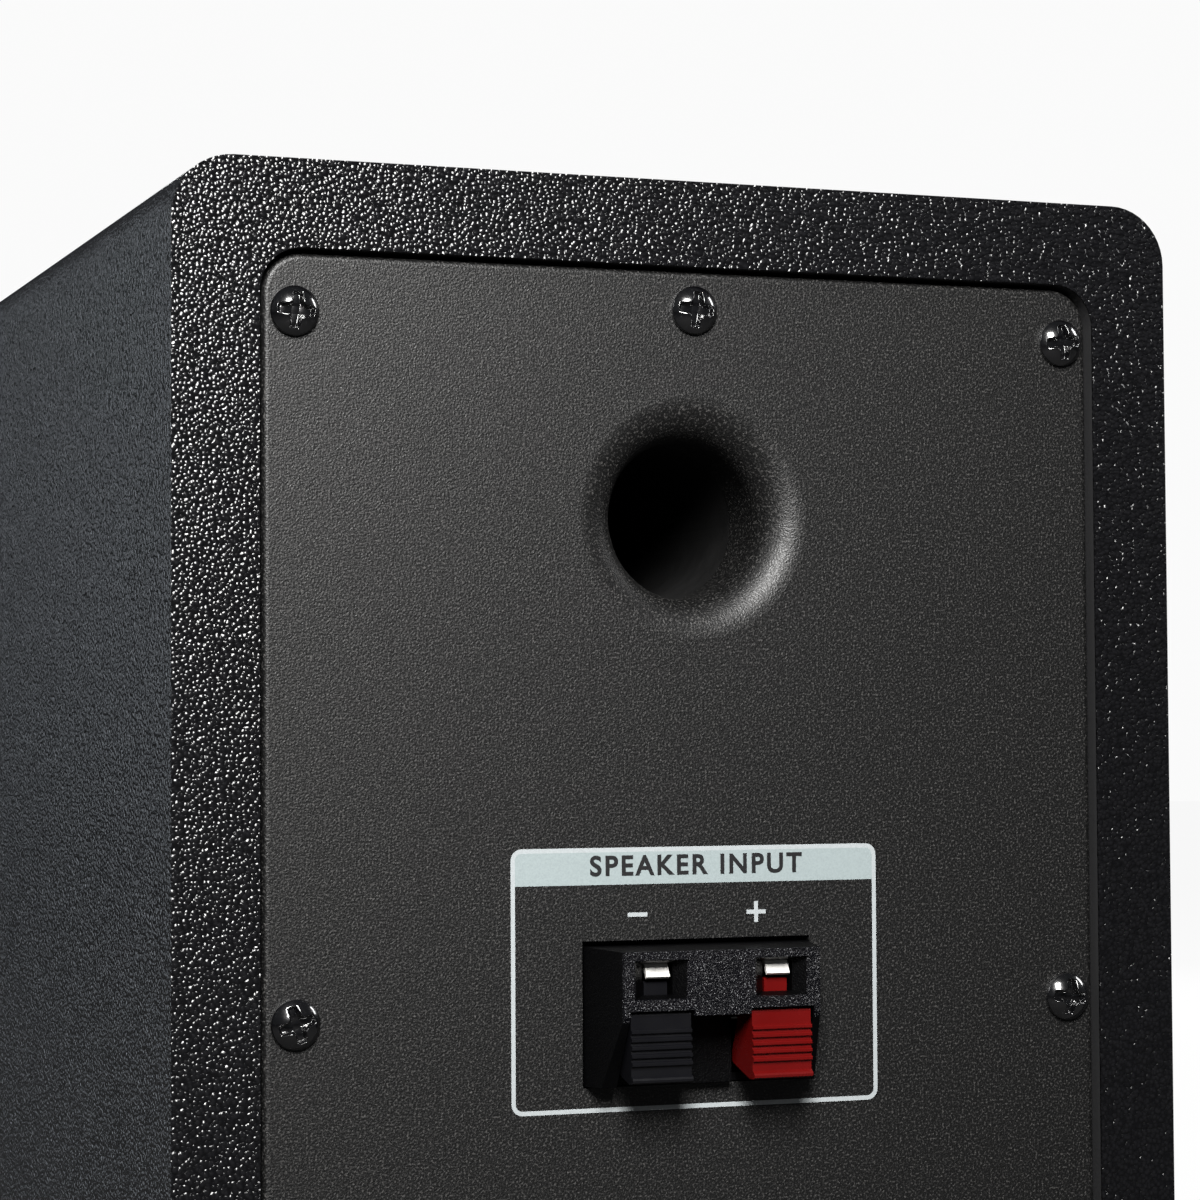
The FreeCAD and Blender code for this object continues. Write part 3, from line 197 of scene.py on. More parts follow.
def plate_plastic():
    """Rear plate: matte black with a very fine spark texture, a little brown in the light. Its
    bright colour specks are painted glints.
    """
    made = Recipe("spark_textured_plate", (0.006, 0.006, 0.006), 0.4)
    grain = made.noise(PLATE_GRAIN_MM, 1, 0.5)
    painted_glint_noise = made.noise(0.3, 1)
    # Where this noise is high the colour gets bright specks, painted glints, and the surface is
    # rougher.
    tone = made.ramp(painted_glint_noise, (0.5, (0.003, 0.003, 0.003)), (0.62, (0.012, 0.0117, 0.0114)),
                     (0.72, (0.050, 0.048, 0.046)))
    gloss = made.ramp(painted_glint_noise, (0.5, 0.42), (0.68, 0.62))
    return made.finish(tone, gloss, made.bump(grain, PLATE_GRAIN_HEIGHT_MM))


def housing_plastic():
    """Terminal block: coarse grain with bright painted glint specks on the outer face, smooth black
    elsewhere.
    """
    made = Recipe("rough_black_housing", (0.004, 0.004, 0.005), 0.42)
    made.shader.inputs["Specular IOR Level"].default_value = 0.12
    grain = made.math("ADD", made.noise(0.2, 3, 0.7), made.cells(0.26))
    # The brightest specks on the outer face are painted glints.
    painted_glint_specks = made.ramp(made.noise(0.13, 1), (0.56, (0.002, 0.002, 0.003)),
                       (0.66, (0.004, 0.004, 0.0055)), (0.71, (0.22, 0.22, 0.23)))
    depth = made.add("ShaderNodeSeparateXYZ", Vector=made.place).outputs["Y"]
    facing = made.math("GREATER_THAN", depth, HOUSING_FACE - HOUSING_SKIN_MM * MM)
    tone = made.add("ShaderNodeMix", data_type="RGBA")
    made.feed(tone.inputs[0], facing)
    tone.inputs[6].default_value = (0.0008, 0.0008, 0.001, 1)
    made.feed(tone.inputs[7], painted_glint_specks)
    gloss = made.spread(made.noise(0.5), 0.3, 0.5)
    height = made.math("MULTIPLY", grain, made.math("MULTIPLY_ADD", facing, 0.9))
    return made.finish(tone.outputs[2], gloss, made.bump(height, 0.07))


def screw_lacquer():
    """Black lacquered steel, with the finish thinner and brighter in small scratches."""
    made = Recipe("black_lacquered_steel", (0.002, 0.002, 0.0024), 0.2)
    made.shader.inputs["Coat Weight"].default_value = 1.0
    made.shader.inputs["Coat Roughness"].default_value = 0.06
    made.shader.inputs["Coat IOR"].default_value = 1.8
    scratch = made.noise(0.5, 5, 0.7)
    tone = made.ramp(scratch, (0.6, (0.002, 0.002, 0.0024)), (0.85, (0.03, 0.03, 0.031)))
    return made.finish(tone, made.spread(scratch, 0.14, 0.3), made.bump(made.noise(0.8), 0.008))


def bare_metal(name, colour, rough, metallic=1.0):
    """Bright or plain metal with fine drawn lines."""
    made = Recipe(name, colour, rough, metallic)
    drawn = made.add("ShaderNodeMapping", Vector=made.place, Scale=(1.0, 0.06, 1.0))
    lines = made.add("ShaderNodeTexNoise", Vector=drawn.outputs["Vector"],
                     Scale=1 / (DRAWN_LINE_MM * MM), Detail=3.0)
    darker = tuple(channel * 0.7 for channel in colour)
    tone = made.ramp(made.noise(2.5, 3), (0.3, darker), (0.7, colour))
    gloss = made.spread(lines.outputs["Fac"], rough * 0.7, rough * 1.4)
    return made.finish(tone, gloss, made.bump(lines.outputs["Fac"], 0.006))


def lacquer():
    """Front board: satin black lacquer with faint orange peel."""
    made = Recipe("satin_black_lacquer", (0.010, 0.010, 0.011), 0.38)
    made.shader.inputs["Coat Weight"].default_value = 0.25
    made.shader.inputs["Coat Roughness"].default_value = 0.3
    tone = made.ramp(made.noise(40, 2), (0.3, (0.009, 0.009, 0.010)), (0.7, (0.013, 0.013, 0.014)))
    return made.finish(tone, made.spread(made.noise(1.2, 3), 0.32, 0.44),
                       made.bump(made.noise(0.9, 2), 0.02))


def fibreboard(name="raw_fibreboard", edge_from=None):
    """Fibreboard. Above edge_from along Y it is painted black, as round the sunk plate."""
    made = Recipe(name, (0.36, 0.24, 0.14), 0.85)
    fibres = made.noise(0.5, 6, 0.75)
    tone = made.ramp(fibres, (0.3, (0.24, 0.155, 0.085)), (0.7, (0.42, 0.29, 0.17)))
    if edge_from is not None:
        split = made.add("ShaderNodeSeparateXYZ", Vector=made.place)
        painted = made.math("GREATER_THAN", split.outputs["Y"], edge_from)
        paint = made.add("ShaderNodeMix", data_type="RGBA")
        made.feed(paint.inputs[0], painted)
        made.feed(paint.inputs[6], tone)
        paint.inputs[7].default_value = (0.008, 0.008, 0.009, 1)
        tone = paint.outputs[2]
    return made.finish(tone, made.spread(fibres, 0.7, 0.95), made.bump(fibres, 0.08))


def rubber(name, colour, rough):
    made = Recipe(name, colour, rough)
    dust = made.noise(4, 5, 0.65)
    paler = tuple(channel * 1.8 + 0.004 for channel in colour)
    tone = made.ramp(dust, (0.45, colour), (0.85, paler))
    return made.finish(tone, made.spread(dust, rough - 0.08, rough + 0.12),
                       made.bump(made.noise(0.2, 3), 0.01))


def foam(name, colour, cell_mm):
    made = Recipe(name, colour, 0.95)
    pores = made.cells(cell_mm)
    darker = tuple(channel * 0.35 for channel in colour)
    # The pore hollows are coloured darker: painted shade in the pores.
    tone = made.ramp(pores, (0.1, darker), (0.5, colour))
    return made.finish(tone, None, made.bump(pores, cell_mm * 0.5))


def wadding():
    made = Recipe("polyester_wadding", (0.75, 0.75, 0.73), 1.0)
    made.shader.inputs["Sheen Weight"].default_value = 0.5
    fluff = made.noise(1.5, 8, 0.8)
    tone = made.ramp(fluff, (0.3, (0.55, 0.55, 0.53)), (0.7, (0.85, 0.85, 0.83)))
    return made.finish(tone, None, made.bump(fluff, 1.2))


def woven(name, colour, thread_mm, rough=0.8):
    """Woven cloth: threads across and threads up, laid over each other."""
    made = Recipe(name, colour, rough)
    made.shader.inputs["Sheen Weight"].default_value = 0.2
    heights = []
    for direction in ("X", "Z"):
        wave = made.add("ShaderNodeTexWave", Vector=made.place, bands_direction=direction,
                        Scale=1 / (thread_mm * MM) / 3.2, Distortion=0.4)
        heights.append(wave.outputs["Fac"])
    weave = made.math("MAXIMUM", *heights)
    darker = tuple(channel * 0.45 for channel in colour)
    # The low parts of the weave, between the threads, are coloured darker: painted shade between
    # the threads.
    tone = made.ramp(weave, (0.3, darker), (0.9, colour))
    return made.finish(tone, None, made.bump(weave, thread_mm * 0.25))


def paper_cone():
    """Coated paper: long soft fibres under a dull black coat."""
    made = Recipe("coated_paper_cone", (0.018, 0.018, 0.020), 0.55)
    fibres = made.noise(0.45, 6, 0.7, Distortion=1.5)
    tone = made.ramp(fibres, (0.35, (0.012, 0.012, 0.014)), (0.75, (0.040, 0.040, 0.043)))
    return made.finish(tone, made.spread(fibres, 0.42, 0.68), made.bump(fibres, 0.05))


def winding(name, colour, axis, wire_mm):
    """Enamelled wire laid side by side."""
    made = Recipe(name, colour, 0.25, 0.9)
    wave = made.add("ShaderNodeTexWave", Vector=made.place, bands_direction=axis,
                    Scale=1 / (wire_mm * MM) / 3.2)
    darker = tuple(channel * 0.3 for channel in colour)
    # The grooves between the wires are coloured darker: painted shade in the grooves.
    tone = made.ramp(wave.outputs["Fac"], (0.1, darker), (0.6, colour))
    return made.finish(tone, None, made.bump(wave.outputs["Fac"], wire_mm * 0.5))


def speckled(name, colour, rough, speck_mm, contrast=0.5):
    """Hard pressed or cast material with small specks: ferrite, cement, circuit board."""
    made = Recipe(name, colour, rough)
    darker = tuple(channel * (1 - contrast) for channel in colour)
    grain = made.noise(speck_mm, 4, 0.7)
    tone = made.ramp(grain, (0.35, darker), (0.65, colour))
    return made.finish(tone, made.spread(grain, rough - 0.1, min(1.0, rough + 0.1)),
                       made.bump(grain, speck_mm * 0.1))


def ink(name, colour):
    """Screen-printed ink that breaks up slightly over the plate's grain."""
    made = Recipe(name, colour, 0.55)
    duller = tuple(channel * 0.86 for channel in colour)
    tone = made.ramp(made.noise(0.25, 3, 0.7), (0.3, duller), (0.6, colour))
    return made.finish(tone, None, made.bump(made.noise(0.16, 2), 0.012))


MATERIALS = {
    "vinyl": vinyl(),
    "plate": plate_plastic(),
    "housing": housing_plastic(),
    "lacquer": lacquer(),
    "board": fibreboard(),
    "frame_board": fibreboard("rear_frame_board", PLATE_FACE - 5 * MM),
    "trim": moulded("satin_black_plastic", (0.012, 0.012, 0.013), 0.34, 0.2, 0.012, 0.06),
    "tube": moulded("black_tube_plastic", (0.001, 0.001, 0.001), 0.6),
    "lever_black": moulded("black_lever_plastic", (0.003, 0.003, 0.004), 0.30, 0.18, 0.006, 0.06),
    "lever_red": moulded("red_lever_plastic", (0.092, 0.0022, 0.002), 0.26, 0.18, 0.012, 0.08),
    "screw": screw_lacquer(),
    "steel": bare_metal("zinc_plated_steel", (0.62, 0.62, 0.60), 0.3),
    "tin": bare_metal("tinned_contact", (0.98, 0.97, 0.93), 0.5, metallic=0.15),
    "black_steel": moulded("powder_coated_steel", (0.015, 0.015, 0.016), 0.45, 0.3, 0.02),
    "foot": rubber("foot_rubber", (0.018, 0.018, 0.018), 0.75),
    "surround": rubber("surround_rubber", (0.010, 0.010, 0.011), 0.42),
    "gasket": foam("closed_cell_foam", (0.05, 0.05, 0.05), 0.6),
    "wadding": wadding(),
    "cone": paper_cone(),
    "dome": woven("coated_silk", (0.020, 0.020, 0.022), 0.35, 0.5),
    "spider": woven("spider_cloth", (0.55, 0.38, 0.16), 0.6),
    "film": moulded("amber_coil_film", (0.45, 0.22, 0.05), 0.3),
    "coil": winding("voice_coil_wire", (0.75, 0.33, 0.18), "Y", 0.3),
    "inductor": winding("inductor_wire", (0.72, 0.30, 0.15), "Z", 0.9),
    "ferrite": speckled("sintered_ferrite", (0.045, 0.045, 0.050), 0.6, 0.8),
    "circuit": speckled("phenolic_board", (0.35, 0.22, 0.09), 0.55, 1.2, 0.3),
    "can": moulded("capacitor_sleeve", (0.03, 0.05, 0.16), 0.3),
    "cement": speckled("resistor_cement", (0.72, 0.70, 0.64), 0.85, 0.5, 0.25),
    "wire_red": moulded("red_insulation", (0.42, 0.02, 0.02), 0.4),
    "wire_black": moulded("black_insulation", (0.012, 0.012, 0.012), 0.4),
    "ink_pale": ink("pale_ink", (0.38, 0.41, 0.42)),
    "ink_header": ink("header_ink", (0.29, 0.34, 0.345)),
    "ink_dark": ink("dark_ink", (0.004, 0.004, 0.005)),
}

NODE_MATERIALS = {
    "vinyl": ("vinyl_wrap", "rear_frame_vinyl"),
    "plate": ("rear_plate",),
    "housing": ("terminal_housing",),
    "lacquer": ("front_baffle",),
    "board": ("left_side_panel", "right_side_panel", "top_panel", "bottom_panel",
              "corner_glue_blocks"),
    "frame_board": ("rear_frame",),
    "trim": ("woofer_trim_ring", "tweeter_faceplate", "crossover_inductor_bobbin",
             "crossover_standoffs"),
    "tube": ("port_tube",),
    "lever_black": ("lever_negative",),
    "lever_red": ("lever_positive",),
    "screw": ("rear_plate_screws", "woofer_screws", "tweeter_screws"),
    "steel": ("terminal_push_nuts", "terminal_pivot_pin", "lever_spring_negative",
              "lever_spring_positive", "woofer_top_plate", "woofer_yoke", "tweeter_top_plate",
              "tweeter_yoke", "crossover_screws"),
    "tin": ("contact_negative", "contact_positive"),
    "black_steel": ("woofer_basket",),
    "foot": ("rubber_feet",),
    "surround": ("woofer_surround",),
    "gasket": ("rear_plate_gasket", "woofer_gasket"),
    "wadding": ("damping_pad_left", "damping_pad_right", "damping_pad_top"),
    "cone": ("woofer_cone", "woofer_dust_cap"),
    "dome": ("tweeter_dome", "tweeter_surround"),
    "spider": ("woofer_spider",),
    "film": ("woofer_coil_former",),
    "coil": ("woofer_voice_coil", "tweeter_voice_coil"),
    "inductor": ("crossover_inductor_winding",),
    "ferrite": ("woofer_magnet", "tweeter_magnet"),
    "circuit": ("crossover_board",),
    "can": ("crossover_capacitor",),
    "cement": ("crossover_resistor",),
    "wire_red": ("input_wire_positive", "woofer_wires"),
    "wire_black": ("input_wire_negative", "tweeter_wires"),
}


def dress_nodes():
    for key, names in NODE_MATERIALS.items():
        for name in names:
            nodes[name].data.materials.clear()
            nodes[name].data.materials.append(MATERIALS[key])


def soften(name, width_mm):
    """Small moulded or pressed edges on a CAD node, so that they catch the light."""
    bevel = nodes[name].modifiers.new("edges", "BEVEL")
    bevel.width = width_mm * MM
    bevel.segments = 2
    bevel.limit_method = "ANGLE"
    bevel.angle_limit = math.radians(35)
    bevel.harden_normals = True


# ---------------------------------------------------------------- pieces
def finish_piece(mesh, name, material, body="cabinet"):
    """An object made of a mesh, in its material and slot, riding on a body if one is given."""
    piece = bpy.data.objects.new(name, mesh)
    bpy.context.scene.collection.objects.link(piece)
    mesh.materials.clear()
    mesh.materials.append(MATERIALS[material])
    if body:
        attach(piece, body)
    return piece


INK_MM = 0.03
INK_LIFT_MM = 0.005


def at_plate(across_mm, drop_mm, lift_mm):
    """A point on the rear plate: across to the right seen from behind, down from the top."""
    return Vector((-across_mm * MM, PLATE_FACE + lift_mm * MM, TOP - drop_mm * MM))


def printed(name, material, at, splines=(), text=None, thick_mm=INK_MM):
    """A flat printed shape on the rear plate, from closed outlines in mm or from text."""
    if text:
        curve = bpy.data.curves.new(name, "FONT")
        curve.body = text["body"]
        curve.size = text["size_mm"] * MM
        curve.align_x = "CENTER"
        curve.align_y = "CENTER"
        curve.space_character = text["spacing"]
        curve.offset = text["weight_mm"] * MM
    else:
        curve = bpy.data.curves.new(name, "CURVE")
        curve.dimensions = "2D"
        curve.fill_mode = "BOTH"
        for points in splines:
            spline = curve.splines.new("POLY")
            spline.points.add(len(points) - 1)
            spline.use_cyclic_u = True
            for point, (across, up) in zip(spline.points, points):
                point.co = (across * MM, up * MM, 0, 1)
    curve.extrude = thick_mm / 2 * MM
    holder = bpy.data.objects.new(name + "_curve", curve)
    mesh = bpy.data.meshes.new_from_object(holder)
    bpy.data.objects.remove(holder)
    turn = Matrix(((-1, 0, 0), (0, 0, 1), (0, 1, 0))).to_4x4()
    mesh.transform(Matrix.Translation(at_plate(at[0], at[1], thick_mm / 2 + INK_LIFT_MM)) @ turn)
    return finish_piece(mesh, name, material)


def rounded(width, height, radius, low_corners=True):
    """Outline of a rectangle with round corners, centred. The low corners can stay square."""
    steps = 6
    points = []
    for turn, (side, level) in enumerate(((1, 1), (-1, 1), (-1, -1), (1, -1))):
        bend = radius if level > 0 or low_corners else 0.0
        centre = (side * (width / 2 - bend), level * (height / 2 - bend))
        for step in range(steps + 1 if bend else 1):
            angle = math.pi / 2 * (turn + step / steps)
            points.append((centre[0] + bend * math.cos(angle), centre[1] + bend * math.sin(angle)))
    return points


# The printed label. Drops are measured down from the top of the cabinet.
LABEL_WIDTH_MM = 51.75
LABEL_HEIGHT_MM = 34.15
LABEL_TOP_MM = 87.65
LABEL_LINE_MM = 0.58
LABEL_CORNER_MM = 1.5
HEADER_HEIGHT_MM = 4.8
MARK_SPAN_MM = 2.75
MARK_LINE_MM = 0.55
MARK_ACROSS_MM = 8.4
MARK_DROP_MM = 96.4
MARK_CORNER_MM = 0.08
TITLE = {"body": "SPEAKER INPUT", "size_mm": 3.6, "spacing": 1.22, "weight_mm": 0.1}
TITLE_SHIFT_MM = 0.1
TITLE_THICK_MM = 0.06


def make_label():
    middle = LABEL_TOP_MM + LABEL_HEIGHT_MM / 2
    inner = (LABEL_WIDTH_MM - 2 * LABEL_LINE_MM, LABEL_HEIGHT_MM - 2 * LABEL_LINE_MM)
    printed("label_line", "ink_pale", at=(0, middle), splines=[
        rounded(LABEL_WIDTH_MM, LABEL_HEIGHT_MM, LABEL_CORNER_MM),
        rounded(*inner, LABEL_CORNER_MM - LABEL_LINE_MM),
    ])
    header_middle = LABEL_TOP_MM + HEADER_HEIGHT_MM / 2
    printed("label_header", "ink_header", at=(0, header_middle + LABEL_LINE_MM / 2), splines=[
        rounded(inner[0], HEADER_HEIGHT_MM - LABEL_LINE_MM, LABEL_CORNER_MM - LABEL_LINE_MM, False),
    ])
    printed("label_title", "ink_dark", at=(0, header_middle + TITLE_SHIFT_MM),
            thick_mm=TITLE_THICK_MM, text=TITLE)
    bar = rounded(MARK_SPAN_MM, MARK_LINE_MM, MARK_CORNER_MM)
    printed("label_minus", "ink_pale", at=(-MARK_ACROSS_MM, MARK_DROP_MM), splines=[bar])
    half, thin = MARK_SPAN_MM / 2, MARK_LINE_MM / 2
    cross = [(half, -thin), (half, thin), (thin, thin), (thin, half), (-thin, half), (-thin, thin),
             (-half, thin), (-half, -thin), (-thin, -thin), (-thin, -half), (thin, -half),
             (thin, -thin)]
    printed("label_plus", "ink_pale", at=(MARK_ACROSS_MM, MARK_DROP_MM), splines=[cross])


def cross_depth(across, up, span, arm):
    """How deep, from 0 to 1, a cross recess is at a point: tapered wings and a deeper middle."""
    def wing(along, aside):
        half = arm * (1.0 - 0.25 * along / span)
        edge = np.clip((half - aside) / (0.4 * arm), 0, 1)
        end = np.clip((span - along) / (0.16 * span), 0, 1)
        return edge * end * (0.55 + 0.45 * np.clip(1.25 - 1.25 * along / span, 0, 1))
    across, up = np.abs(across), np.abs(up)
    web = np.clip((1.5 * arm - np.hypot(across, up)) / (0.3 * arm), 0, 1)
    return np.maximum(np.maximum(wing(across, up), wing(up, across)), 0.8 * web)


def screw_head(name, centre, outward, size, turn):
    """A domed cross-head: polar grid over the dome, pressed in along the recess, then the rim."""
    radius, rim, dome, span, arm, depth = (value * MM for value in size.values())
    rings, spokes = 60, 144
    crown = dome - rim
    curve = (radius * radius + crown * crown) / (2 * crown)
    shares = np.linspace(0, 1, rings + 1)[1:] * radius * 0.985
    angles = np.linspace(0, 2 * math.pi, spokes, endpoint=False)
    distance, angle = np.meshgrid(shares, angles, indexing="ij")
    across, up = distance * np.cos(angle), distance * np.sin(angle)
    height = dome - curve + np.sqrt(curve * curve - distance * distance)
    height -= depth * cross_depth(across, up, span, arm)
    points = [(0, 0, dome - depth)]
    points += list(zip(across.ravel(), up.ravel(), height.ravel()))
    for level_radius, level in ((radius, rim * 0.8), (radius, rim * 0.25), (radius * 0.97, 0.0)):
        points += [(level_radius * math.cos(a), level_radius * math.sin(a), level) for a in angles]
    faces = [(0, 1 + n, 1 + (n + 1) % spokes) for n in range(spokes)]
    for ring in range(rings + 2):
        start, after = 1 + ring * spokes, 1 + (ring + 1) * spokes
        for n in range(spokes):
            following = (n + 1) % spokes
            faces.append((start + n, after + n, after + following, start + following))
    mesh = bpy.data.meshes.new(name)
    mesh.from_pydata(points, [], faces)
    mesh.polygons.foreach_set("use_smooth", [True] * len(mesh.polygons))
    aim = outward.to_track_quat("Z", "Y").to_matrix().to_4x4()
    mesh.transform(Matrix.Translation(centre) @ aim @ Matrix.Rotation(turn, 4, "Z"))
    return finish_piece(mesh, name, "screw")


# Screw heads in mm: rim and dome heights, and the cross recess's half span, half width and depth.
PLATE_SCREW = {"radius": 3.2, "rim": 0.7, "dome": 2.1, "span": 2.45, "arm": 0.88, "depth": 1.35}
DRIVER_SCREW = {"radius": 2.9, "rim": 0.6, "dome": 1.5, "span": 1.9, "arm": 0.55, "depth": 0.95}
SHANK_RADIUS_MM = 1.4
SHANK_POINT_MM = 2.5
SHANK_TIP_MM = 0.15


def shank(name, centre, outward, radius, length):
    """Plain shank with a point, under a screw head."""
    spokes = 24
    levels = ((radius, 0.0), (radius, -length + SHANK_POINT_MM * MM), (SHANK_TIP_MM * MM, -length))
    points = [(r * math.cos(a), r * math.sin(a), level) for r, level in levels
              for a in np.linspace(0, 2 * math.pi, spokes, endpoint=False)]
    faces = [(row * spokes + n, (row + 1) * spokes + n,
              (row + 1) * spokes + (n + 1) % spokes, row * spokes + (n + 1) % spokes)
             for row in range(2) for n in range(spokes)]
    mesh = bpy.data.meshes.new(name)
    mesh.from_pydata(points, [], faces)
    aim = outward.to_track_quat("Z", "Y").to_matrix().to_4x4()
    mesh.transform(Matrix.Translation(centre) @ aim)
    return finish_piece(mesh, name, "steel")


def solid_islands(node):
    """The boxes of the separate solids in a CAD node, in a fixed order."""
    mesh = bmesh.new()
    mesh.from_mesh(nodes[node].data)
    bmesh.ops.remove_doubles(mesh, verts=mesh.verts, dist=1e-6)
    left = set(mesh.verts)
    boxes = []
    while left:
        stack = [left.pop()]
        corners = []
        while stack:
            vertex = stack.pop()
            corners.append(vertex.co.copy())
            for edge in vertex.link_edges:
                other = edge.other_vert(vertex)
                if other in left:
                    left.remove(other)
                    stack.append(other)
        low = Vector(map(min, *corners))
        high = Vector(map(max, *corners))
        boxes.append((low, high))
    mesh.free()
    return sorted(boxes, key=lambda pair: (round(pair[0].x, 4), round(pair[0].z, 4)))


def make_screws():
    """Detailed screws in place of the plain CAD ones, each cross turned its own way."""
    for node, size, outward in (("rear_plate_screws", PLATE_SCREW, Vector((0, 1, 0))),
                                ("woofer_screws", DRIVER_SCREW, Vector((0, -1, 0))),
                                ("tweeter_screws", DRIVER_SCREW, Vector((0, -1, 0)))):
        for number, (low, high) in enumerate(solid_islands(node), start=1):
            middle = (low + high) / 2
            outer = high.y if outward.y > 0 else low.y
            seat = Vector((middle.x, outer - outward.y * size["dome"] * MM, middle.z))
            turn = math.radians(14) * math.sin(2.1 * number) + math.radians(6)
            head = screw_head(f"{node}_{number}", seat, outward, size, turn)
            length = (high.y - low.y) - size["dome"] * MM
            post = shank(f"{node}_{number}_shank", seat, outward, SHANK_RADIUS_MM * MM, length)
            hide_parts(node)
            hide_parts(node)


def revolved_sheet(name, centre, line, thick, material):
    """A thin ring round a driver's axis, from its middle line of (radius, forward) points in mm."""
    points = np.array(line, float)
    along = np.gradient(points, axis=0)
    along /= np.linalg.norm(along, axis=1)[:, None]
    aside = np.stack((-along[:, 1], along[:, 0]), axis=1) * thick / 2
    section = np.vstack((points + aside, (points - aside)[::-1]))
    spokes, count = 144, len(section)
    corners = []
    for angle in np.linspace(0, 2 * math.pi, spokes, endpoint=False):
        for radius, forward in section:
            corners.append(centre + Vector((radius * math.cos(angle), -forward,
                                            radius * math.sin(angle))) * MM)
    faces = []
    for spoke in range(spokes):
        after = (spoke + 1) % spokes
        for n in range(count):
            following = (n + 1) % count
            faces.append((spoke * count + n, spoke * count + following,
                          after * count + following, after * count + n))
    mesh = bpy.data.meshes.new(name)
    mesh.from_pydata(corners, [], faces)
    mesh.polygons.foreach_set("use_smooth", [True] * len(mesh.polygons))
    return finish_piece(mesh, name, material, body=None)


def roll_between(piece):
    """Bakes a ring's placement into its mesh."""
    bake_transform(piece)


def half_roll(start, end, rise, steps=16):
    """Points of a round roll between two (radius, forward) points, standing this far forward."""
    points = []
    for step in range(steps + 1):
        angle = math.pi * step / steps
        share = (1 - math.cos(angle)) / 2
        level = start[1] + (end[1] - start[1]) * share + rise * math.sin(angle)
        points.append((start[0] + (end[0] - start[0]) * share, level))
    return points


# The middle lines of the soft rings, as (radius, distance in front of the baffle) in mm.
WOOFER_ROLL = [(39.9, 0.05), (39.0, 0.05)]
WOOFER_ROLL += half_roll((38.6, 0.05), (32.9, -1.5), 1.55)
WOOFER_ROLL += [(32.4, -2.2), (31.9, -2.3), (31.1, -2.3)]
SPIDER = [(29.3, -21.75), (26.6, -21.75)]
SPIDER += [(26.2 - 0.275 * n, -21.3 - 0.4 * math.cos(n * math.pi / 4)) for n in range(41)]
SPIDER += [(14.6, -21.7), (12.6, -21.7)]
TWEETER_ROLL = [(16.9, -8.15), (14.4, -8.15)]
TWEETER_ROLL += half_roll((14.1, -8.1), (13.0, -7.85), 0.45, 10)
TWEETER_ROLL += [(12.7, -7.83), (12.3, -7.8)]


def make_suspensions():
    """The soft rings that hold each diaphragm, shaped so that they roll as it moves.

    Each row ends with the ring's thickness, its line, the radius from which it is fixed to the
    cabinet, the radius up to which it moves with the diaphragm, and that diaphragm.
    """
    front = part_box("front_baffle")[0].y
    for node, name, material, thick, line, fixed, moving, body in (
        ("woofer_surround", "woofer_half_roll", "surround", 0.45, WOOFER_ROLL, 38.6, 32.6,
         "woofer_diaphragm"),
        ("woofer_spider", "woofer_centring_spider", "spider", 0.3, SPIDER, 26.2, 13.6,
         "woofer_diaphragm"),
        ("tweeter_surround", "tweeter_half_roll", "dome", 0.22, TWEETER_ROLL, 14.1, 13.0,
         "tweeter_diaphragm"),
    ):
        low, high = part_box(node)
        centre = Vector(((low.x + high.x) / 2, front, (low.z + high.z) / 2))
        piece = revolved_sheet(name, centre, line, thick, material)
        roll_between(piece)
        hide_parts(node)


def make_pad(node, name, inward):
    """Soft wadding mat: flat against its panel, crowned and lumpy inside, thin at the edges."""
    low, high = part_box(node)
    size = high - low
    thick_axis = max(range(3), key=lambda axis: abs(inward[axis]))
    wide_axis, long_axis = (axis for axis in range(3) if axis != thick_axis)
    columns, rows = 36, 44
    points = []
    for level in (0, 1):
        for row in range(rows + 1):
            for column in range(columns + 1):
                u, v = 2 * column / columns - 1, 2 * row / rows - 1
                lump = noise.noise(Vector((u * 4, v * 5, 3.1))) * 0.5 + 0.5
                crown = (0.25 + 0.75 * ((1 - u ** 6) * (1 - v ** 6)) ** 0.5) * (0.8 + 0.2 * lump)
                pull = 1 - 0.02 * (1 - crown) - 0.015 * (v * v * (1 - abs(u)))
                point = Vector()
                point[wide_axis] = (low[wide_axis] + high[wide_axis]) / 2
                point[wide_axis] += u * pull * size[wide_axis] / 2
                point[long_axis] = (low[long_axis] + high[long_axis]) / 2
                point[long_axis] += v * pull * size[long_axis] / 2
                base = low[thick_axis] if inward[thick_axis] > 0 else high[thick_axis]
                reach = crown if level else 0.02
                point[thick_axis] = base + inward[thick_axis] * size[thick_axis] * reach
                points.append(point)
    across = columns + 1
    layer = across * (rows + 1)
    faces = []
    for row in range(rows):
        for column in range(columns):
            n = row * across + column
            faces.append((n, n + 1, n + 1 + across, n + across))
            faces.append((layer + n, layer + n + across, layer + n + 1 + across, layer + n + 1))
    border = list(range(columns))
    border += [row * across + columns for row in range(rows)]
    border += [rows * across + column for column in range(columns, 0, -1)]
    border += [row * across for row in range(rows, 0, -1)]
    for first, second in zip(border, border[1:] + border[:1]):
        faces.append((first, layer + first, layer + second, second))
    mesh = bpy.data.meshes.new(name)
    mesh.from_pydata(points, [], faces)
    solid = bmesh.new()
    solid.from_mesh(mesh)
    bmesh.ops.recalc_face_normals(solid, faces=solid.faces)
    solid.to_mesh(mesh)
    solid.free()
    mesh.polygons.foreach_set("use_smooth", [True] * len(mesh.polygons))
    piece = finish_piece(mesh, name, "wadding")
    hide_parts(node)


# ---------------------------------------------------------------- stage, light, camera
FLOOR_HALF = 6.0


def area_light(name, place, aim, size, power, colour=(1, 1, 1)):
    """A soft rectangular lamp in metres and watts, aimed at a point and hidden from the camera."""
    data = bpy.data.lights.new(name, "AREA")
    data.shape = "RECTANGLE"
    data.size, data.size_y = size
    data.energy = power
    data.color = colour
    light = bpy.data.objects.new(name, data)
    light.visible_camera = False
    bpy.context.scene.collection.objects.link(light)
    light.location = place
    light.rotation_mode = "QUATERNION"
    light.rotation_quaternion = (aim - place).to_track_quat("-Z", "Y")


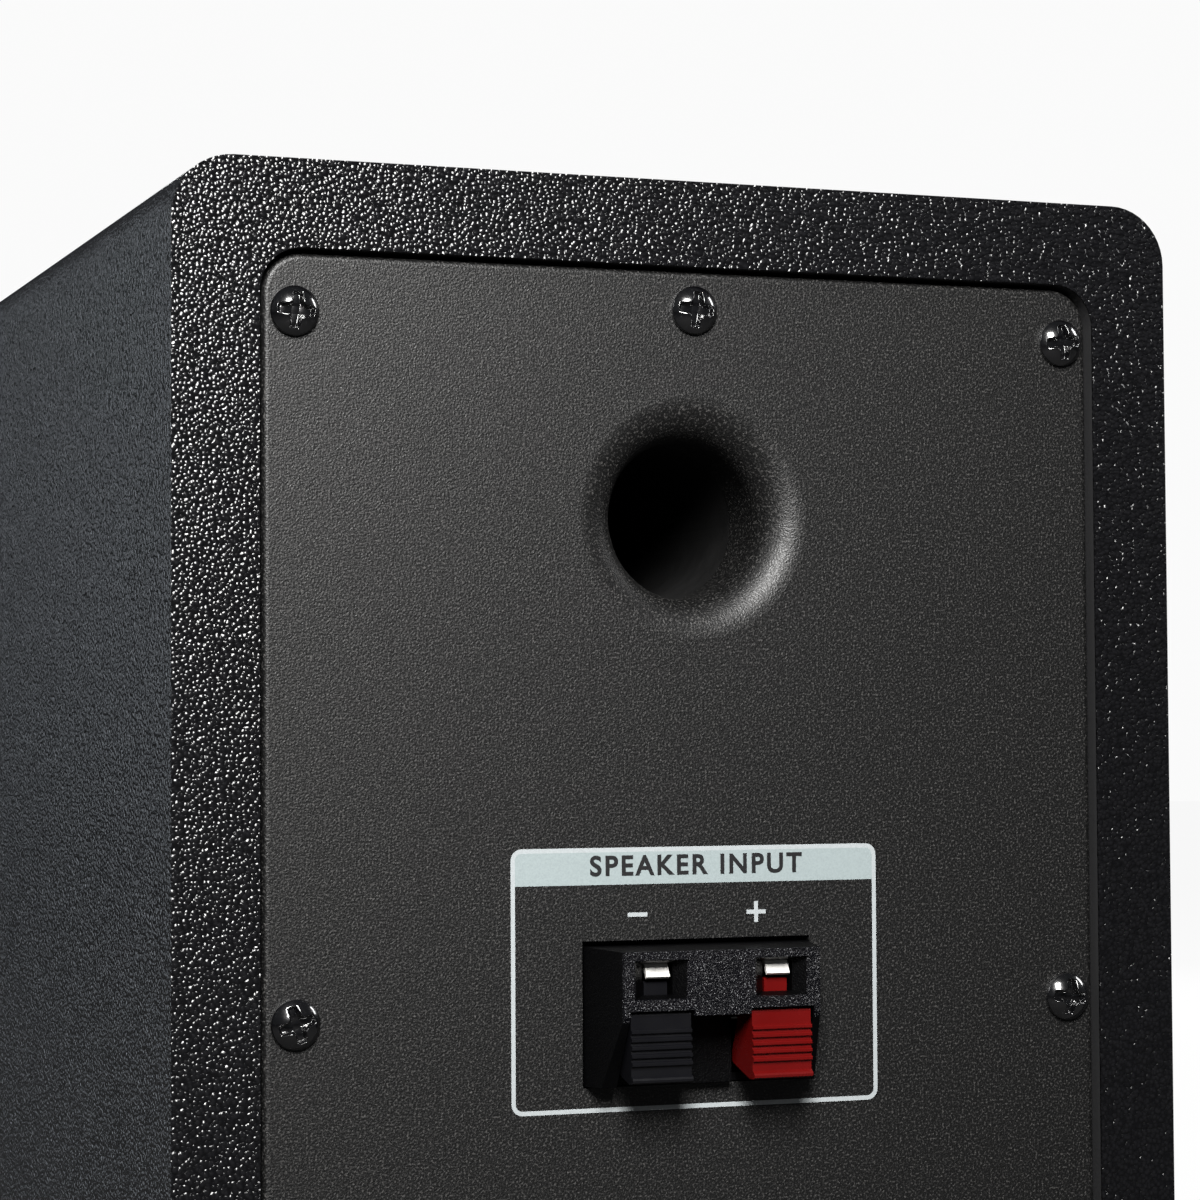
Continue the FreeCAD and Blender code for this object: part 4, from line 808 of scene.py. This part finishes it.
def make_stage():
    """A pale floor shaded where little sky reaches it, a bright backdrop and the lamps."""
    mesh = bpy.data.meshes.new("floor")
    half = FLOOR_HALF
    mesh.from_pydata([(-half, -half, GROUND), (half, -half, GROUND), (half, half, GROUND),
                      (-half, half, GROUND)], [], [(0, 1, 2, 3)])
    floor = bpy.data.objects.new("floor", mesh)
    bpy.context.scene.collection.objects.link(floor)
    made = Recipe("pale_floor", (0.04, 0.04, 0.04), 0.8)
    made.shader.inputs["Specular IOR Level"].default_value = 0.0
    made.shader.inputs["Emission Color"].default_value = (1, 1, 1, 1)
    seen = made.add("ShaderNodeLightPath").outputs["Is Camera Ray"]
    open_sky = made.add("ShaderNodeAmbientOcclusion", samples=12, Distance=0.22).outputs["AO"]
    shade = made.ramp(open_sky, (0.0, 0.25), (0.55, 0.80), (0.95, 0.93))
    made.feed(made.shader.inputs["Emission Strength"], made.math("MULTIPLY", seen, shade))
    mesh.materials.append(made.finish(
        made.ramp(made.noise(300, 2), (0.3, (0.038, 0.038, 0.038)), (0.7, (0.042, 0.042, 0.042)))))

    world = bpy.data.worlds.new("studio")
    bpy.context.scene.world = world
    world.use_nodes = True
    tree = world.node_tree
    backdrop = tree.nodes["Background"]
    backdrop.inputs["Color"].default_value = (1, 1, 1, 1)
    backdrop.inputs["Strength"].default_value = 0.96
    ambient = tree.nodes.new("ShaderNodeBackground")
    ambient.inputs["Color"].default_value = (0.86, 0.93, 1.0, 1)
    ambient.inputs["Strength"].default_value = 0.045
    path = tree.nodes.new("ShaderNodeLightPath")
    mix = tree.nodes.new("ShaderNodeMixShader")
    tree.links.new(path.outputs["Is Camera Ray"], mix.inputs["Fac"])
    tree.links.new(ambient.outputs["Background"], mix.inputs[1])
    tree.links.new(backdrop.outputs["Background"], mix.inputs[2])
    tree.links.new(mix.outputs["Shader"], tree.nodes["World Output"].inputs["Surface"])

    rear = Vector((0, REAR, TOP * 0.6))
    front = Vector((0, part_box("front_baffle")[0].y, TOP * 0.5))
    area_light("key", rear + Vector((0.14, 0.38, 0.28)), rear, (0.14, 0.22), 6.0, (1, 0.99, 0.975))
    area_light("side_rim", front + Vector((0.85, -0.8, 0.25)), front, (0.35, 0.9), 3.6,
               (0.85, 0.92, 1))
    for name, side in (("left_soft", 1), ("right_soft", -1)):
        area_light(name, Vector((side * 1.0, -0.05, 0.65)), Vector((0, 0, TOP / 2)), (0.5, 0.4), 7)
    area_light("front_key", front + Vector((-0.7, -1.0, 1.5)), front, (0.8, 0.6), 24)
    area_light("front_fill", front + Vector((-0.5, -1.4, 0.2)), front, (0.5, 0.5), 9)


CAMERA_PLACE_MM = Vector((163.8, 397.1, -73.6))
CAMERA_LENS_MM = 98.11
CAMERA_RIGHT = Vector((-0.93552, 0.35323, -0.00538))
CAMERA_UP = Vector((0.01003, 0.04179, 0.99908))
CAMERA_FORWARD = Vector((-0.35313, -0.93460, 0.04264))


def make_camera():
    """Behind the speaker, to its left as seen from behind, level with the terminals."""
    data = bpy.data.cameras.new("camera")
    data.sensor_width = 36.0
    data.lens = CAMERA_LENS_MM
    data.clip_start = 0.01
    data.clip_end = 50
    camera = bpy.data.objects.new("camera", data)
    bpy.context.scene.collection.objects.link(camera)
    camera.location = Vector((0, REAR, TOP)) + CAMERA_PLACE_MM * MM
    axes = (CAMERA_RIGHT, CAMERA_UP, -CAMERA_FORWARD)
    camera.rotation_mode = "QUATERNION"
    camera.rotation_quaternion = Matrix(axes).transposed().to_quaternion()
    bpy.context.scene.camera = camera
    bpy.context.scene.view_settings.view_transform = "Standard"


dress_nodes()
for label, width in (("terminal_housing", 0.1), ("lever_negative", 0.14), ("lever_positive", 0.14),
                     ("contact_negative", 0.08), ("contact_positive", 0.08)):
    soften(label, width)
make_label()
make_screws()
make_suspensions()
make_pad("damping_pad_right", "side_wadding_right", Vector((-1, 0, 0)))
make_pad("damping_pad_left", "side_wadding_left", Vector((1, 0, 0)))
make_pad("damping_pad_top", "top_wadding", Vector((0, 0, -1)))
make_stage()
make_camera()
